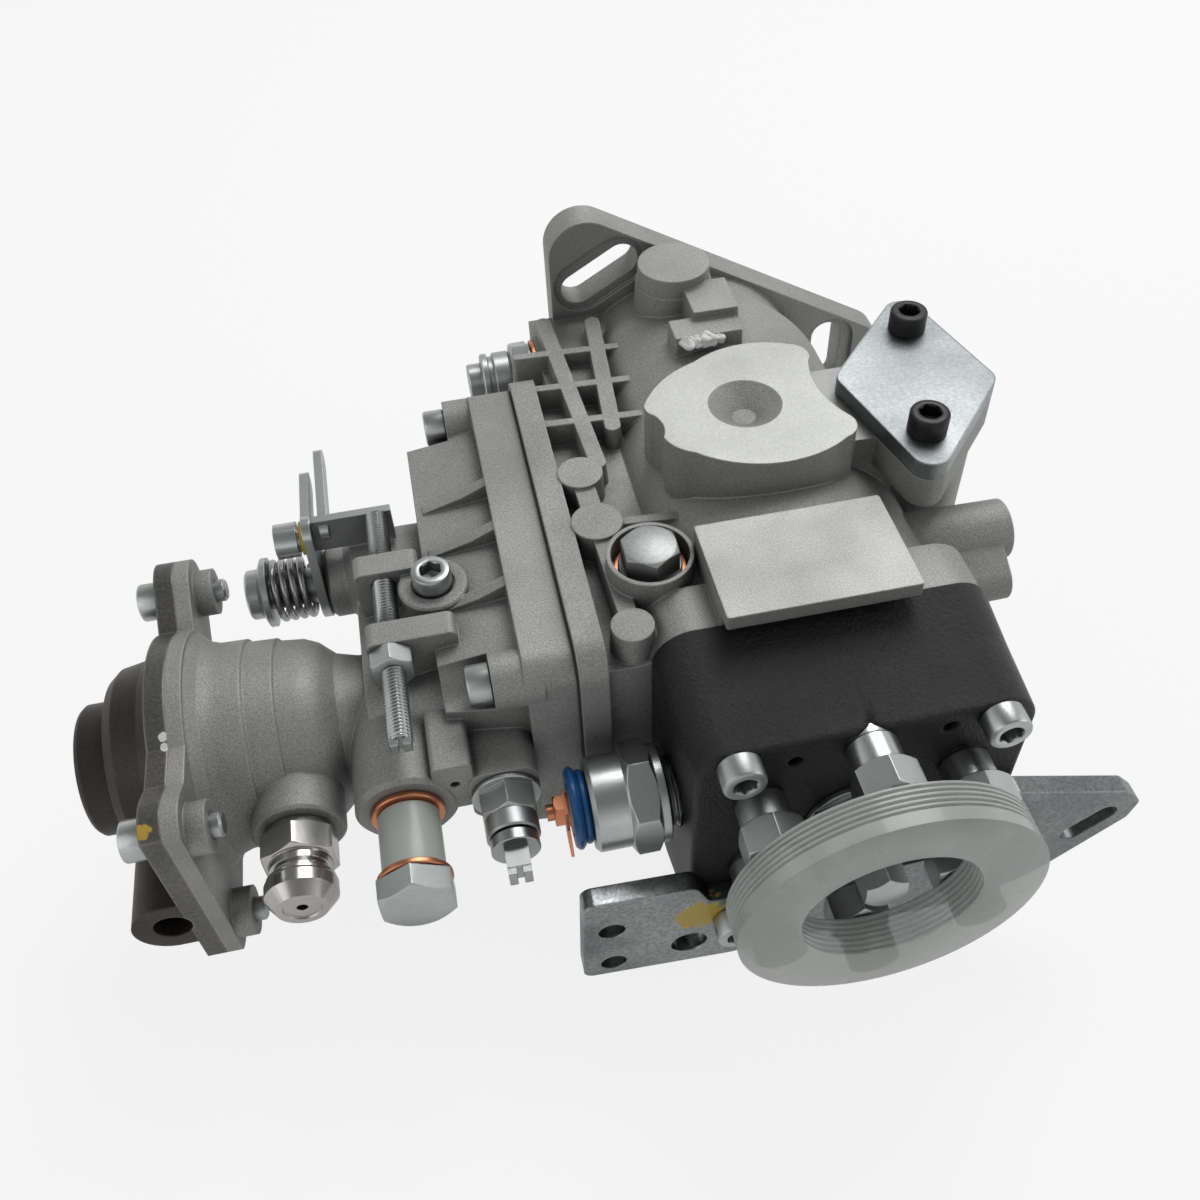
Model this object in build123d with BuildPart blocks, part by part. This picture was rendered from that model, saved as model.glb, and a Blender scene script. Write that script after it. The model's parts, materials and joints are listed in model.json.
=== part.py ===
from build123d import *
from math import atan2, cos, degrees, hypot, radians, sin, sqrt
import os

# Rotary distributor injection pump for a six-cylinder diesel engine, modelled in millimetres.
# Y runs along the drive axis: the mounting face is y = 0, the drive shaft points to +Y and the
# outlets to -Y. The governor cover faces -X, the timing device stands on the +X side, +Z is up.

# ---- driving dimensions ---------------------------------------------------------------------
FLANGE_T = 10.0
LOBE_R, LOBE_PCR = 11.0, 59.0
SLOT_PCR, SLOT_W, SLOT_L = 50.5, 10.0, 26.0
SLOT_RECESS = 1.2
PILOT_R, PILOT_L = 34.0, 6.0
BODY_R, BORE_R = 43.0, 31.0
BORE_START_Y = -34.0
HEAD_Y, HEAD_END_Y = -148.0, -181.0      # joint with the hydraulic head, and its outlet face
HEAD_SCREW = 30.0                        # half the square on which the head screws stand
COVER_X = -59.0                          # joint between housing and governor cover
GASKET_T = 0.6
COVER_TOP_X = -91.0
COVER_FRONT_Y, COVER_BACK_Y, COVER_HALF_Z = -149.0, -40.0, 33.0
BOLT_YS, BOLT_Z = (-46.0, -142.5), 25.0
BOLT_SEAT_X = -79.0
DECK_Z, PLATE_Z, PAD_Z = 28.0, 45.0, 53.0
TIMER_X, TIMER_Y, TIMER_R = 44.0, -87.0, 12.0
TIMER_END, TIMER_CAP = 45.0, 5.0
TIMER_TILT = 14.5                        # degrees between the timing cover's long side and Y
TIMER_SCREW = 21.5
SHAFT_R, BUSH_R = 10.0, 12.0
VALVE_PCR, VALVE_R, VALVE_HEX = 28.0, 5.5, 14.0
VALVE_HEX_Y, VALVE_TIP_Y = -186.5, -205.0
CAP_BACK_Y, CAP_FRONT_Y, CAP_R, CAP_HOLE = -196.6, -207.0, 36.0, 21.0
BRACKET_T = 5.0
COMP_Y, COMP_Z = -123.0, -6.0            # axis of the boost compensator
COMP_JOINT_X = -155.5
COMP_BOLT_Y, COMP_BOLT_Z = 37.0, 20.0
COMP_FLAT_Y = -166.5
PORT_X = -164.0                          # open port in the compensator's cover
PORT_Z = -15.7
PORT_R = 4.6
PORT_DEPTH = 14.0
THROTTLE_Y, THROTTLE_Z = -78.0, 2.0
IDLE_X, IDLE_Z = -101.5, 25.0
LUG_T = 7.0                              # thickness of the idle screw's lugs
BANJO_X, BANJO_Y = -104.0, -157.0
FULL_X, FULL_Y = -80.0, -157.0
VENT_Y = -156.6                          # face of the vent block between the two
BOOST_PORT_X, BOOST_PORT_Z, BOOST_PORT_Y = -131.0, -5.0, -154.0
OVERFLOW_Y, OVERFLOW_Z, WALL_X = -21.0, 20.0, -48.0
SOLENOID_Y = -165.0
PLUG_SEAT_Z = 34.0
GOVERNOR_X = -48.0                       # axis of the flyweight governor, parallel to Y
DRIVE_TEETH, GOVERNOR_TEETH, MODULE = 36, 24, 1.6
LEVER_X, LEVER_Y = -22.0, -117.0         # pivot of the governor lever, parallel to Z
RUN, GAP = 0.05, 0.1                     # radial running clearance, clearance of fixed pieces
M6_R, M6_HEAD_R, M6_HEAD_H, M6_KEY = 3.0, 5.0, 6.0, 5.0

FACINGS = {
    "+X": ((1, 0, 0), (0, 1, 0)),
    "-X": ((-1, 0, 0), (0, 1, 0)),
    "+Y": ((0, 1, 0), (1, 0, 0)),
    "-Y": ((0, -1, 0), (1, 0, 0)),
    "+Z": ((0, 0, 1), (1, 0, 0)),
    "-Z": ((0, 0, -1), (1, 0, 0)),
}


# ---- helpers --------------------------------------------------------------------------------
def at(x, y, z, facing="+Z"):
    """A place at (x, y, z) whose own +Z looks along the named axis."""
    z_dir, x_dir = FACINGS[facing]
    return Plane(origin=(x, y, z), x_dir=x_dir, z_dir=z_dir).location


def turned(*profile):
    """A turned piece: (radius, height) corners revolved about its own +Z."""
    with BuildPart() as piece:
        with BuildSketch(Plane.XZ):
            with BuildLine():
                Polyline((0, profile[0][1]), *profile, (0, profile[-1][1]), close=True)
            make_face()
        revolve(axis=Axis.Z)
    return piece.part


def ring(outer, inner, low, high):
    """A plain ring between two heights."""
    with BuildPart() as piece:
        with BuildSketch(Plane.XY.offset(low)):
            Circle(outer)
            Circle(inner, mode=Mode.SUBTRACT)
        extrude(amount=high - low)
    return piece.part


def prism(corners, flats, low, high):
    """A regular prism across the given flats between two heights."""
    with BuildPart() as piece:
        with BuildSketch(Plane.XY.offset(low)):
            RegularPolygon(flats / 2, corners, major_radius=False)
        extrude(amount=high - low)
    return piece.part


def hexagon(flats, low, high, bore=0.0):
    """A hexagon nut or head, its upper corners turned to a bevel."""
    corner = flats / sqrt(3)
    with BuildPart() as piece:
        add(prism(6, flats, low, high))
        add(turned((corner, low), (corner, high - 0.09 * flats), (flats / 2, high)),
            mode=Mode.INTERSECT)
        if bore:
            add(turned((bore, low), (bore, high)), mode=Mode.SUBTRACT)
    return piece.part


def socket_screw(length, radius=M6_R, head_r=M6_HEAD_R, head_h=M6_HEAD_H, key=M6_KEY):
    """A cap screw whose head seats at height 0 and whose shank runs down."""
    with BuildPart() as piece:
        add(turned((radius, -length), (radius, 0), (head_r, 0), (head_r, head_h - 0.5),
                   (head_r - 0.5, head_h)))
        add(prism(6, key, head_h * 0.4, head_h), mode=Mode.SUBTRACT)
    return piece.part


def coil(radius, wire, pitch, turns):
    """A helical spring of round wire standing on height 0, its ends cut square."""
    with BuildPart() as piece:
        with BuildLine():
            path = Helix(pitch=pitch, height=pitch * turns, radius=radius)
        with BuildSketch(Plane(origin=path @ 0, z_dir=path % 0)):
            RegularPolygon(wire / 2, 6)
        sweep(is_frenet=True)
    return piece.part


def bar(start, end, width):
    """A round-ended bar between two points, for the sketch under way."""
    run, rise = end[0] - start[0], end[1] - start[1]
    middle = ((start[0] + end[0]) / 2, (start[1] + end[1]) / 2, 0)
    with Locations(Location(middle, (0, 0, degrees(atan2(rise, run))))):
        SlotCenterToCenter(hypot(run, rise), width)


def timing_outline():
    """The lozenge of the timing cover, for the sketch under way."""
    with Locations(Location((TIMER_X, TIMER_Y, 0), (0, 0, TIMER_TILT * -1))):
        for place in ((0, TIMER_SCREW + 8), (0, -TIMER_SCREW - 8), (15.5, 0), (-15.5, 0)):
            with Locations(place):
                Circle(5.0)
    make_hull()


def save(piece, label):
    """Labels a finished piece and writes its STEP file."""
    piece.label = label
    export_step(piece, f"parts/{label}.step")


os.makedirs("parts", exist_ok=True)

head_screw_spots = [(x, z) for x in (-HEAD_SCREW, HEAD_SCREW) for z in (-HEAD_SCREW, HEAD_SCREW)]
cover_bolt_spots = [(y, z) for y in BOLT_YS for z in (-BOLT_Z, BOLT_Z)]
tilt = radians(TIMER_TILT)
timing_screw_places = [
    at(TIMER_X + end * TIMER_SCREW * sin(tilt), TIMER_Y + end * TIMER_SCREW * cos(tilt),
       side * (TIMER_END + TIMER_CAP), "+Z" if side > 0 else "-Z")
    for end in (-1, 1) for side in (-1, 1)
]

# ---- pump housing ---------------------------------------------------------------------------
with BuildPart() as deck_ribs:
    # ribs and round bosses that stand on the governor deck, the same above and below
    for start, end, width in (
        ((-44.5, -17.0), (-41.0, -83.0), 6.0), ((-30.0, -20.0), (-34.0, -69.0), 6.0),
        ((-55.0, -32.0), (-20.0, -34.0), 4.0), ((-55.0, -48.0), (-20.0, -50.0), 4.0),
        ((-55.0, -64.0), (-20.0, -66.0), 4.0), ((-46.5, -87.0), (-45.8, -106.0), 7.0),
        ((-45.8, -106.0), (-44.5, -141.5), 6.0), ((-45.8, -106.0), (-20.0, -108.0), 4.0),
    ):
        with BuildSketch(Plane.XY.offset(DECK_Z - 4)):
            bar(start, end, width)
        extrude(amount=11.0, taper=4)
    for centre, radius in (((-46.5, -87.0), 6.6), ((-45.8, -106.0), 7.2), ((-44.5, -141.8), 5.8)):
        with BuildSketch(Plane.XY.offset(DECK_Z - 4)):
            with Locations(centre):
                Circle(radius)
        extrude(amount=12.0, taper=3)
    mirror(about=Plane.XY)

with BuildPart() as pump_housing:
    # mounting flange: the hull of three lobes
    with BuildSketch(Plane.XZ):
        with PolarLocations(LOBE_PCR, 3):
            Circle(LOBE_R)
        make_hull()
    extrude(amount=FLANGE_T)
    # bell, barrel and pilot
    with BuildSketch(Plane.XY):
        with BuildLine():
            Polyline((0, PILOT_L), (PILOT_R - 1, PILOT_L), (PILOT_R, PILOT_L - 1),
                     (PILOT_R, 0), (39.0, 0), (39.0, -14.0))
            Spline((39.0, -14.0), (40.6, -22.0), (BODY_R, -32.0), tangents=((0, -1), (0, -1)))
            Polyline((BODY_R, -32.0), (BODY_R, HEAD_Y), (0, HEAD_Y), (0, PILOT_L))
        make_face()
    revolve(axis=Axis.Y)
    # governor deck beside the barrel, and the wall block that carries the overflow union
    with BuildSketch(Plane.XY.offset(-DECK_Z)):
        with Locations((COVER_X / 2, (HEAD_Y - 45) / 2)):
            Rectangle(-COVER_X, -45 - HEAD_Y)
    extrude(amount=2 * DECK_Z)
    with BuildSketch(Plane.XY.offset(-30)):
        with Locations((WALL_X / 2, -27.0)):
            Rectangle(-WALL_X, 38.0)
    extrude(amount=60)
    # rim that carries the governor cover
    with BuildSketch(Plane.YZ.offset(COVER_X)):
        with Locations(((COVER_FRONT_Y + COVER_BACK_Y) / 2, 0)):
            RectangleRounded(COVER_BACK_Y - COVER_FRONT_Y + 3, 2 * COVER_HALF_Z + 5, 9.0)
    extrude(amount=7.0)
    # square flange for the hydraulic head
    with BuildSketch(Plane.XZ.offset(-HEAD_Y - 14)):
        with Locations((0, -2.0)):
            RectangleRounded(83.0, 78.0, 11.0)
    extrude(amount=14.0)
    add(deck_ribs.part)
    # plug boss
    with BuildSketch(Plane.XY.offset(DECK_Z - 4)):
        with Locations((-36.2, -124.0)):
            Circle(11.5)
    extrude(amount=16.0, taper=3)
    # machined pad, the bare plate's pad, the sealed block and the round boss
    with BuildSketch(Plane.XY.offset(36.0)):
        with BuildLine():
            ThreePointArc((-28.5, -84.6), (-28.6, -87.0), (-27.0, -89.3))
            ThreePointArc((-27.0, -89.3), (-25.6, -93.6), (-26.6, -98.1))
            ThreePointArc((-26.6, -98.1), (-24.8, -102.0), (-20.5, -105.4))
            ThreePointArc((-20.5, -105.4), (0.0, -114.0), (17.5, -108.6))
            ThreePointArc((17.5, -108.6), (20.8, -105.9), (20.2, -100.5))
            ThreePointArc((20.2, -100.5), (16.3, -88.5), (17.6, -77.0))
            ThreePointArc((17.6, -77.0), (18.4, -72.5), (14.8, -69.0))
            ThreePointArc((14.8, -69.0), (2.5, -65.9), (-11.7, -70.3))
            ThreePointArc((-11.7, -70.3), (-22.4, -76.6), (-28.5, -84.6))
        make_face()
    extrude(amount=PAD_Z - 36.0)
    with BuildSketch(Plane.XY.offset(30.0)):
        with Locations((-1.9, (-122.4 + HEAD_Y) / 2)):
            RectangleRounded(46.5, HEAD_Y * -1 - 122.4, 0.8)
    extrude(amount=PLATE_Z - 30.0)
    with BuildSketch(Plane.XY.offset(PLATE_Z - 4.0)):
        with Locations((-1.9, -137.5)):
            RectangleRounded(46.5, 30.2, 0.8)
    extrude(amount=4.0)
    with BuildSketch(Plane.XY.offset(32.0)):
        with Locations((-5.6, -22.6)):
            Circle(12.0)
        with Locations((-2.4, -47.6)):
            RectangleRounded(21.0, 10.5, 1.5)
    extrude(amount=15.5, taper=3)
    with BuildSketch(Plane.XY.offset(32.0)):
        with Locations((1.5, -37.0)):
            RectangleRounded(15.0, 17.0, 1.5)
    extrude(amount=18.0, taper=3)
    with BuildSketch(Plane.XY.offset(32.0)):
        with Locations((-5.6, -22.6)):
            Circle(11.9)
    extrude(amount=PAD_Z - 32.0, taper=4)
    # timing device: a cylinder across the pump with a lozenge flange at each end
    with BuildSketch(Plane.XY.offset(-TIMER_END)):
        with Locations((TIMER_X, TIMER_Y)):
            Circle(TIMER_R + 5.5)
        with Locations((TIMER_X / 2 + 6, TIMER_Y)):
            Rectangle(TIMER_X - 12, 2 * TIMER_R + 6)
    extrude(amount=2 * TIMER_END)
    for low in (-TIMER_END, TIMER_END - 9):
        with BuildSketch(Plane.XY.offset(low)):
            timing_outline()
        extrude(amount=9.0)
    # boss and lug on the timing side
    with BuildSketch(Plane.YZ.offset(30.0)):
        with Locations((-115.5, 17.5)):
            Circle(8.6)
    extrude(amount=32.0, taper=1)
    with BuildSketch(Plane.YZ.offset(30.0)):
        with Locations((-115.5, 16.5)):
            Circle(7.0)
        with Locations((-127.0, 11.0)):
            Circle(6.2)
        make_hull()
    extrude(amount=29.0, taper=1)

    # pump chamber, bearing bore and seal recess
    with BuildSketch(Plane.XZ.offset(-PILOT_L)):
        Circle(15.0 + GAP)
    extrude(amount=8.0 + PILOT_L, mode=Mode.SUBTRACT)
    with BuildSketch(Plane.XZ):
        Circle(BUSH_R + GAP)
    extrude(amount=-BORE_START_Y, mode=Mode.SUBTRACT)
    with BuildSketch(Plane.XZ.offset(-BORE_START_Y)):
        Circle(BORE_R)
    extrude(amount=BORE_START_Y - HEAD_Y, mode=Mode.SUBTRACT)
    # governor chamber, open to the cover
    with BuildSketch(Plane.YZ.offset(COVER_X)):
        with Locations((-96.5, 0)):
            RectangleRounded(89.0, 50.0, 6.0)
    extrude(amount=49.0, mode=Mode.SUBTRACT)
    # timing bore and the window for the roller ring's pin
    with BuildSketch(Plane.XY.offset(-TIMER_END)):
        with Locations((TIMER_X, TIMER_Y)):
            Circle(TIMER_R)
    extrude(amount=2 * TIMER_END, mode=Mode.SUBTRACT)
    with BuildSketch(Plane.YZ.offset(26.0)):
        with Locations((TIMER_Y, 0)):
            SlotOverall(24.0, 9.0, rotation=90)
    extrude(amount=12.0, mode=Mode.SUBTRACT)
    # flange slots, each sunk into a shallow recess behind the face
    with BuildSketch(Plane.XZ):
        with PolarLocations(SLOT_PCR, 3):
            SlotOverall(SLOT_L, SLOT_W, rotation=90)
    extrude(amount=FLANGE_T, mode=Mode.SUBTRACT)
    with BuildSketch(Plane.XZ.offset(FLANGE_T - SLOT_RECESS)):
        with PolarLocations(SLOT_PCR + 0.5, 3):
            SlotOverall(SLOT_L + 4, 17.0, rotation=90)
    extrude(amount=SLOT_RECESS, mode=Mode.SUBTRACT)
    # threaded holes
    with BuildSketch(Plane.XZ.offset(-HEAD_Y - 13)):
        with Locations(*head_screw_spots):
            Circle(M6_R + GAP)
    extrude(amount=13.0, mode=Mode.SUBTRACT)
    with BuildSketch(Plane.YZ.offset(COVER_X)):
        with Locations(*cover_bolt_spots):
            Circle(M6_R + GAP)
    extrude(amount=7.0, mode=Mode.SUBTRACT)
    with Locations(*timing_screw_places):
        add(turned((M6_R + GAP, -14.5), (M6_R + GAP, 1.0)), mode=Mode.SUBTRACT)
    with Locations(at(GOVERNOR_X, 0, 0, "-Y")):
        add(turned((4.0 + GAP, 46.0), (4.0 + GAP, 53.0)), mode=Mode.SUBTRACT)
    with Locations(at(-36.2, -124.0, PLUG_SEAT_Z)):
        add(turned((7.0 + GAP, -16.0), (7.0 + GAP, 0), (9.6, 0), (9.6, 12.0)),
            mode=Mode.SUBTRACT)
    with Locations(at(WALL_X, OVERFLOW_Y, OVERFLOW_Z, "-X")):
        add(turned((6.0 + GAP, -14.0), (6.0 + GAP, 1.0)), mode=Mode.SUBTRACT)
    with Locations(at(-3.5, -90.2, PAD_Z)):
        add(turned((3.0, -4.5), (9.5, 0.0), (9.5, 1.0)), mode=Mode.SUBTRACT)
save(pump_housing.part, "pump_housing")

# ---- governor cover -------------------------------------------------------------------------
cover_joint_x = COVER_X - GASKET_T
cover_mid_y = (COVER_FRONT_Y + COVER_BACK_Y) / 2
cover_length = COVER_BACK_Y - COVER_FRONT_Y


def compensator_outline():
    """The four-lobed flange of the boost compensator, for the sketch under way."""
    with Locations((COMP_Y, COMP_Z)):
        Circle(31.5)
        bar((-COMP_BOLT_Y, -COMP_BOLT_Z), (COMP_BOLT_Y, COMP_BOLT_Z), 19.0)
        bar((-COMP_BOLT_Y, COMP_BOLT_Z), (COMP_BOLT_Y, -COMP_BOLT_Z), 19.0)
        bar((-COMP_BOLT_Y, COMP_BOLT_Z), (-COMP_BOLT_Y, -COMP_BOLT_Z), 19.0)
        with Locations((-COMP_BOLT_Y / 2, 0)):
            Rectangle(COMP_BOLT_Y, 2 * COMP_BOLT_Z + 12.0)
    with Locations((COMP_FLAT_Y - 10, COMP_Z)):
        Rectangle(20.0, 80.0, mode=Mode.SUBTRACT)


comp_bolt_spots = [(COMP_Y + y, COMP_Z + z)
                   for y in (-COMP_BOLT_Y, COMP_BOLT_Y) for z in (-COMP_BOLT_Z, COMP_BOLT_Z)]

with BuildPart() as governor_cover:
    # skirt, scalloped between the bosses above and below
    with BuildSketch(Plane.YZ.offset(cover_joint_x)):
        with Locations((cover_mid_y, 0)):
            RectangleRounded(cover_length, 2 * COVER_HALF_Z, 7.0)
    extrude(amount=-11.8)
    # hollows behind its rim, one between each two gussets
    with BuildSketch(Plane.YZ.offset(cover_joint_x - 8.8)):
        for side in (1, -1):
            with Locations((0, side * 28.6)):
                for front, back in ((-75.5, -58.0), (-92.5, -83.5), (-112.5, -100.5)):
                    bar((front, 0), (back, 0), 4.4)
    extrude(amount=-3.2, mode=Mode.SUBTRACT)
    # crown, drawn in towards its flat top
    with BuildSketch(Plane.YZ.offset(cover_joint_x)):
        with Locations((cover_mid_y, 0)):
            RectangleRounded(cover_length - 4, 2 * COVER_HALF_Z - 8, 7.0)
    with BuildSketch(Plane.YZ.offset(COVER_TOP_X)):
        with Locations((cover_mid_y, 0)):
            RectangleRounded(cover_length - 13, 2 * COVER_HALF_Z - 17, 7.0)
    loft()
    # bolt bosses, and room above them for the bolt heads
    with BuildSketch(Plane.YZ.offset(BOLT_SEAT_X)):
        with Locations(*cover_bolt_spots):
            Circle(8.2)
    extrude(amount=-20.0, mode=Mode.SUBTRACT)
    with BuildSketch(Plane.YZ.offset(BOLT_SEAT_X)):
        with Locations(*cover_bolt_spots):
            Circle(7.0)
    extrude(amount=12.0)
    # gussets from the crown down to the rim
    for y, side in [(y, side) for y in (-80.0, -97.0, -117.0) for side in (1, -1)]:
        with BuildSketch(Plane.XZ.offset(-y - 1.6)):
            with BuildLine():
                Polyline((-71.0, side * 20.0), (-71.0, side * 32.2), (-78.0, side * 28.8),
                         (-89.0, side * 25.4), (-89.0, side * 20.0), close=True)
            make_face()
        extrude(amount=3.2)
    # saddle behind the crown that carries the throttle shaft, the idle screw and the unions
    with BuildSketch(Plane.YZ.offset(COVER_TOP_X + 3)):
        with Locations((-116.5, -2.0)):
            RectangleRounded(49.0, 40.0, 8.0)
    with BuildSketch(Plane.YZ.offset(COVER_TOP_X - 19)):
        with Locations((-116.0, -3.0)):
            RectangleRounded(44.0, 34.0, 8.0)
    loft()
    with Locations(at(0, THROTTLE_Y, THROTTLE_Z, "-X")):
        add(turned((12.5, 86.0), (12.5, 110.5), (10.0, 113.0), (10.0, 117.5), (9.0, 118.5)))
    # lugs of the idle screw
    for y, x_low, x_high in ((-102.0, -108.5, -92.0), (-125.5, -107.0, -85.0)):
        with BuildSketch(Plane.XZ.offset(-y - LUG_T / 2)):
            with Locations(((x_low + x_high) / 2, 21.0)):
                RectangleRounded(x_high - x_low, 18.0, 2.0)
        extrude(amount=LUG_T)
    # ring boss of the side screw
    with Locations(at(-89.0, -110.0, 0)):
        add(turned((9.0, 12.0), (9.0, 27.4), (8.4, 28.0)))
    # bosses of the banjo union and the full-load screw, and a vent block between them
    with Locations(at(BANJO_X, 0, 0, "-Y")):
        add(turned((12.5, 120.0), (12.5, -BANJO_Y - 1), (11.5, -BANJO_Y)))
    with BuildSketch(Plane.XZ.offset(130.0)):
        with Locations((FULL_X, 0)):
            RectangleRounded(17.0, 18.0, 4.0)
    extrude(amount=-FULL_Y - 130.0)
    with BuildSketch(Plane.XZ.offset(130.0)):
        with Locations((-91.8, 5.5)):
            RectangleRounded(9.6, 17.0, 1.2)
    extrude(amount=-VENT_Y - 130.0)
    # waisted neck and flange of the boost compensator
    with Locations(at(0, COMP_Y, COMP_Z, "-X")):
        add(turned((17.0, 95.0), (17.5, 112.0), (19.0, 117.5), (22.6, 121.5), (24.2, 125.0),
                   (24.8, 131.0), (25.6, 131.7), (25.9, 138.5), (26.7, 139.2), (26.9, 146.0),
                   (27.9, 149.0), (29.8, 150.9), (30.4, -COMP_JOINT_X - 3.9)))
    with BuildSketch(Plane.YZ.offset(COMP_JOINT_X + 3.9)):
        compensator_outline()
    extrude(amount=-3.9)
    with BuildSketch(Plane.YZ.offset(COMP_JOINT_X + 3.9)):
        with Locations(*comp_bolt_spots):
            Circle(6.2)
    extrude(amount=4.8)
    with Locations(at(BOOST_PORT_X, COMP_Y, BOOST_PORT_Z, "-Y")):
        add(turned((11.5, 15.0), (11.5, COMP_Y - BOOST_PORT_Y - 0.8),
                   (10.7, COMP_Y - BOOST_PORT_Y)))

    # inside: governor space, compensator chamber, shaft and pin bores
    with BuildSketch(Plane.YZ.offset(cover_joint_x)):
        with Locations((-94.0, 0)):
            RectangleRounded(84.0, 48.0, 6.0)
    extrude(amount=-25.0, mode=Mode.SUBTRACT)
    with Locations(at(0, COMP_Y, COMP_Z, "-X")):
        add(turned((20.0, 129.5), (23.0, 137.0), (24.0, 146.0), (24.0, -COMP_JOINT_X)),
            mode=Mode.SUBTRACT)
        add(turned((5.0 + RUN, 80.0), (5.0 + RUN, 130.0)), mode=Mode.SUBTRACT)
    with Locations(at(0, THROTTLE_Y, THROTTLE_Z, "-X")):
        add(turned((5.0 + RUN, 80.0), (5.0 + RUN, 120.0)), mode=Mode.SUBTRACT)
    # screw holes
    with Locations(*[at(0, y, z, "-X") for y, z in cover_bolt_spots]):
        add(turned((M6_R + GAP, 59.0), (M6_R + GAP, 80.0)), mode=Mode.SUBTRACT)
    with Locations(*[at(0, y, z, "-X") for y, z in comp_bolt_spots]):
        add(turned((M6_R + GAP, 140.0), (M6_R + GAP, 156.0)), mode=Mode.SUBTRACT)
    with Locations(at(IDLE_X, 0, IDLE_Z, "-Y")):
        add(turned((M6_R + GAP, 90.0), (M6_R + GAP, 132.0)), mode=Mode.SUBTRACT)
    with Locations(at(-89.0, -110.0, 0)):
        add(turned((M6_R + GAP, 13.0), (M6_R + GAP, 27.0), (5.6, 27.0), (5.6, 29.0)),
            mode=Mode.SUBTRACT)
    with Locations(at(BANJO_X, 0, 0, "-Y")):
        add(turned((6.0 + GAP, 139.0), (6.0 + GAP, 158.0)), mode=Mode.SUBTRACT)
    with Locations(at(FULL_X, 0, 0, "-Y")):
        add(turned((4.0 + GAP, 130.0), (4.0 + GAP, 158.0)), mode=Mode.SUBTRACT)
    with Locations(at(BOOST_PORT_X, 0, BOOST_PORT_Z, "-Y")):
        add(turned((5.0 + GAP, 140.0), (5.0 + GAP, 155.0)), mode=Mode.SUBTRACT)
    with Locations(at(-91.6, VENT_Y, 6.8, "-Y")):
        add(turned((1.2, -3.0), (1.2, 1.0)), mode=Mode.SUBTRACT)
save(governor_cover.part, "governor_cover")

with BuildPart() as cover_gasket:
    with BuildSketch(Plane.YZ.offset(COVER_X)):
        with Locations((cover_mid_y, 0)):
            RectangleRounded(cover_length, 2 * COVER_HALF_Z, 7.0)
        with Locations((-94.0, 0)):
            RectangleRounded(84.0, 48.0, 6.0, mode=Mode.SUBTRACT)
        with Locations(*cover_bolt_spots):
            Circle(M6_R + GAP, mode=Mode.SUBTRACT)
    extrude(amount=-GASKET_T)
save(cover_gasket.part, "cover_gasket")

# ---- hydraulic head -------------------------------------------------------------------------
valve_places = [at(VALVE_PCR * cos(radians(a)), 0, VALVE_PCR * sin(radians(a)), "-Y")
                for a in range(30, 390, 60)]
head_screw_places = [at(x, 0, z, "-Y") for x, z in head_screw_spots]

with BuildPart() as hydraulic_head:
    with BuildSketch(Plane.XZ.offset(-HEAD_Y)):
        with Locations((0, -2.0)):
            RectangleRounded(83.0, 79.0, 10.0)
    with BuildSketch(Plane.XZ.offset(-HEAD_Y + 14.0)):
        with Locations((0, -3.5)):
            RectangleRounded(82.0, 76.0, 9.0)
    with BuildSketch(Plane.XZ.offset(-HEAD_END_Y)):
        with Locations((0, -4.0)):
            RectangleRounded(79.0, 75.0, 8.0)
    loft(ruled=True)
    fillet(faces().sort_by(Axis.Y)[0].edges(), 1.5)
    # spigot in the pump chamber, and the square nose round the distributor
    with Locations(at(0, 0, 0, "-Y")):
        add(turned((BORE_R - GAP - 1, -HEAD_Y - 6), (BORE_R - GAP, -HEAD_Y - 5),
                   (BORE_R - GAP, -HEAD_Y)))
        add(turned((BUSH_R + GAP, 141.0), (BUSH_R + GAP, 172.0)), mode=Mode.SUBTRACT)
        add(turned((10.0 + GAP, 170.0), (10.0 + GAP, 182.0)), mode=Mode.SUBTRACT)
    with Locations(*valve_places):
        add(turned((VALVE_R + GAP, 160.0), (VALVE_R + GAP, 182.0)), mode=Mode.SUBTRACT)
    with Locations(*head_screw_places):
        add(turned((M6_R + GAP, 147.0), (M6_R + GAP, 182.0)), mode=Mode.SUBTRACT)
    with Locations(at(0, SOLENOID_Y, 0, "-X")):
        add(turned((9.0 + GAP, 31.5), (9.0 + GAP, 43.0)), mode=Mode.SUBTRACT)
        add(turned((3.0, 11.0), (3.0, 32.0)), mode=Mode.SUBTRACT)
    # drillings of the outlet face
    with Locations(at(-16.8, HEAD_END_Y, 26.8, "-Y"), at(18.6, HEAD_END_Y, 28.8, "-Y")):
        add(turned((1.8, -5.0), (1.8, 1.0)), mode=Mode.SUBTRACT)
save(hydraulic_head.part, "hydraulic_head")

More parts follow.
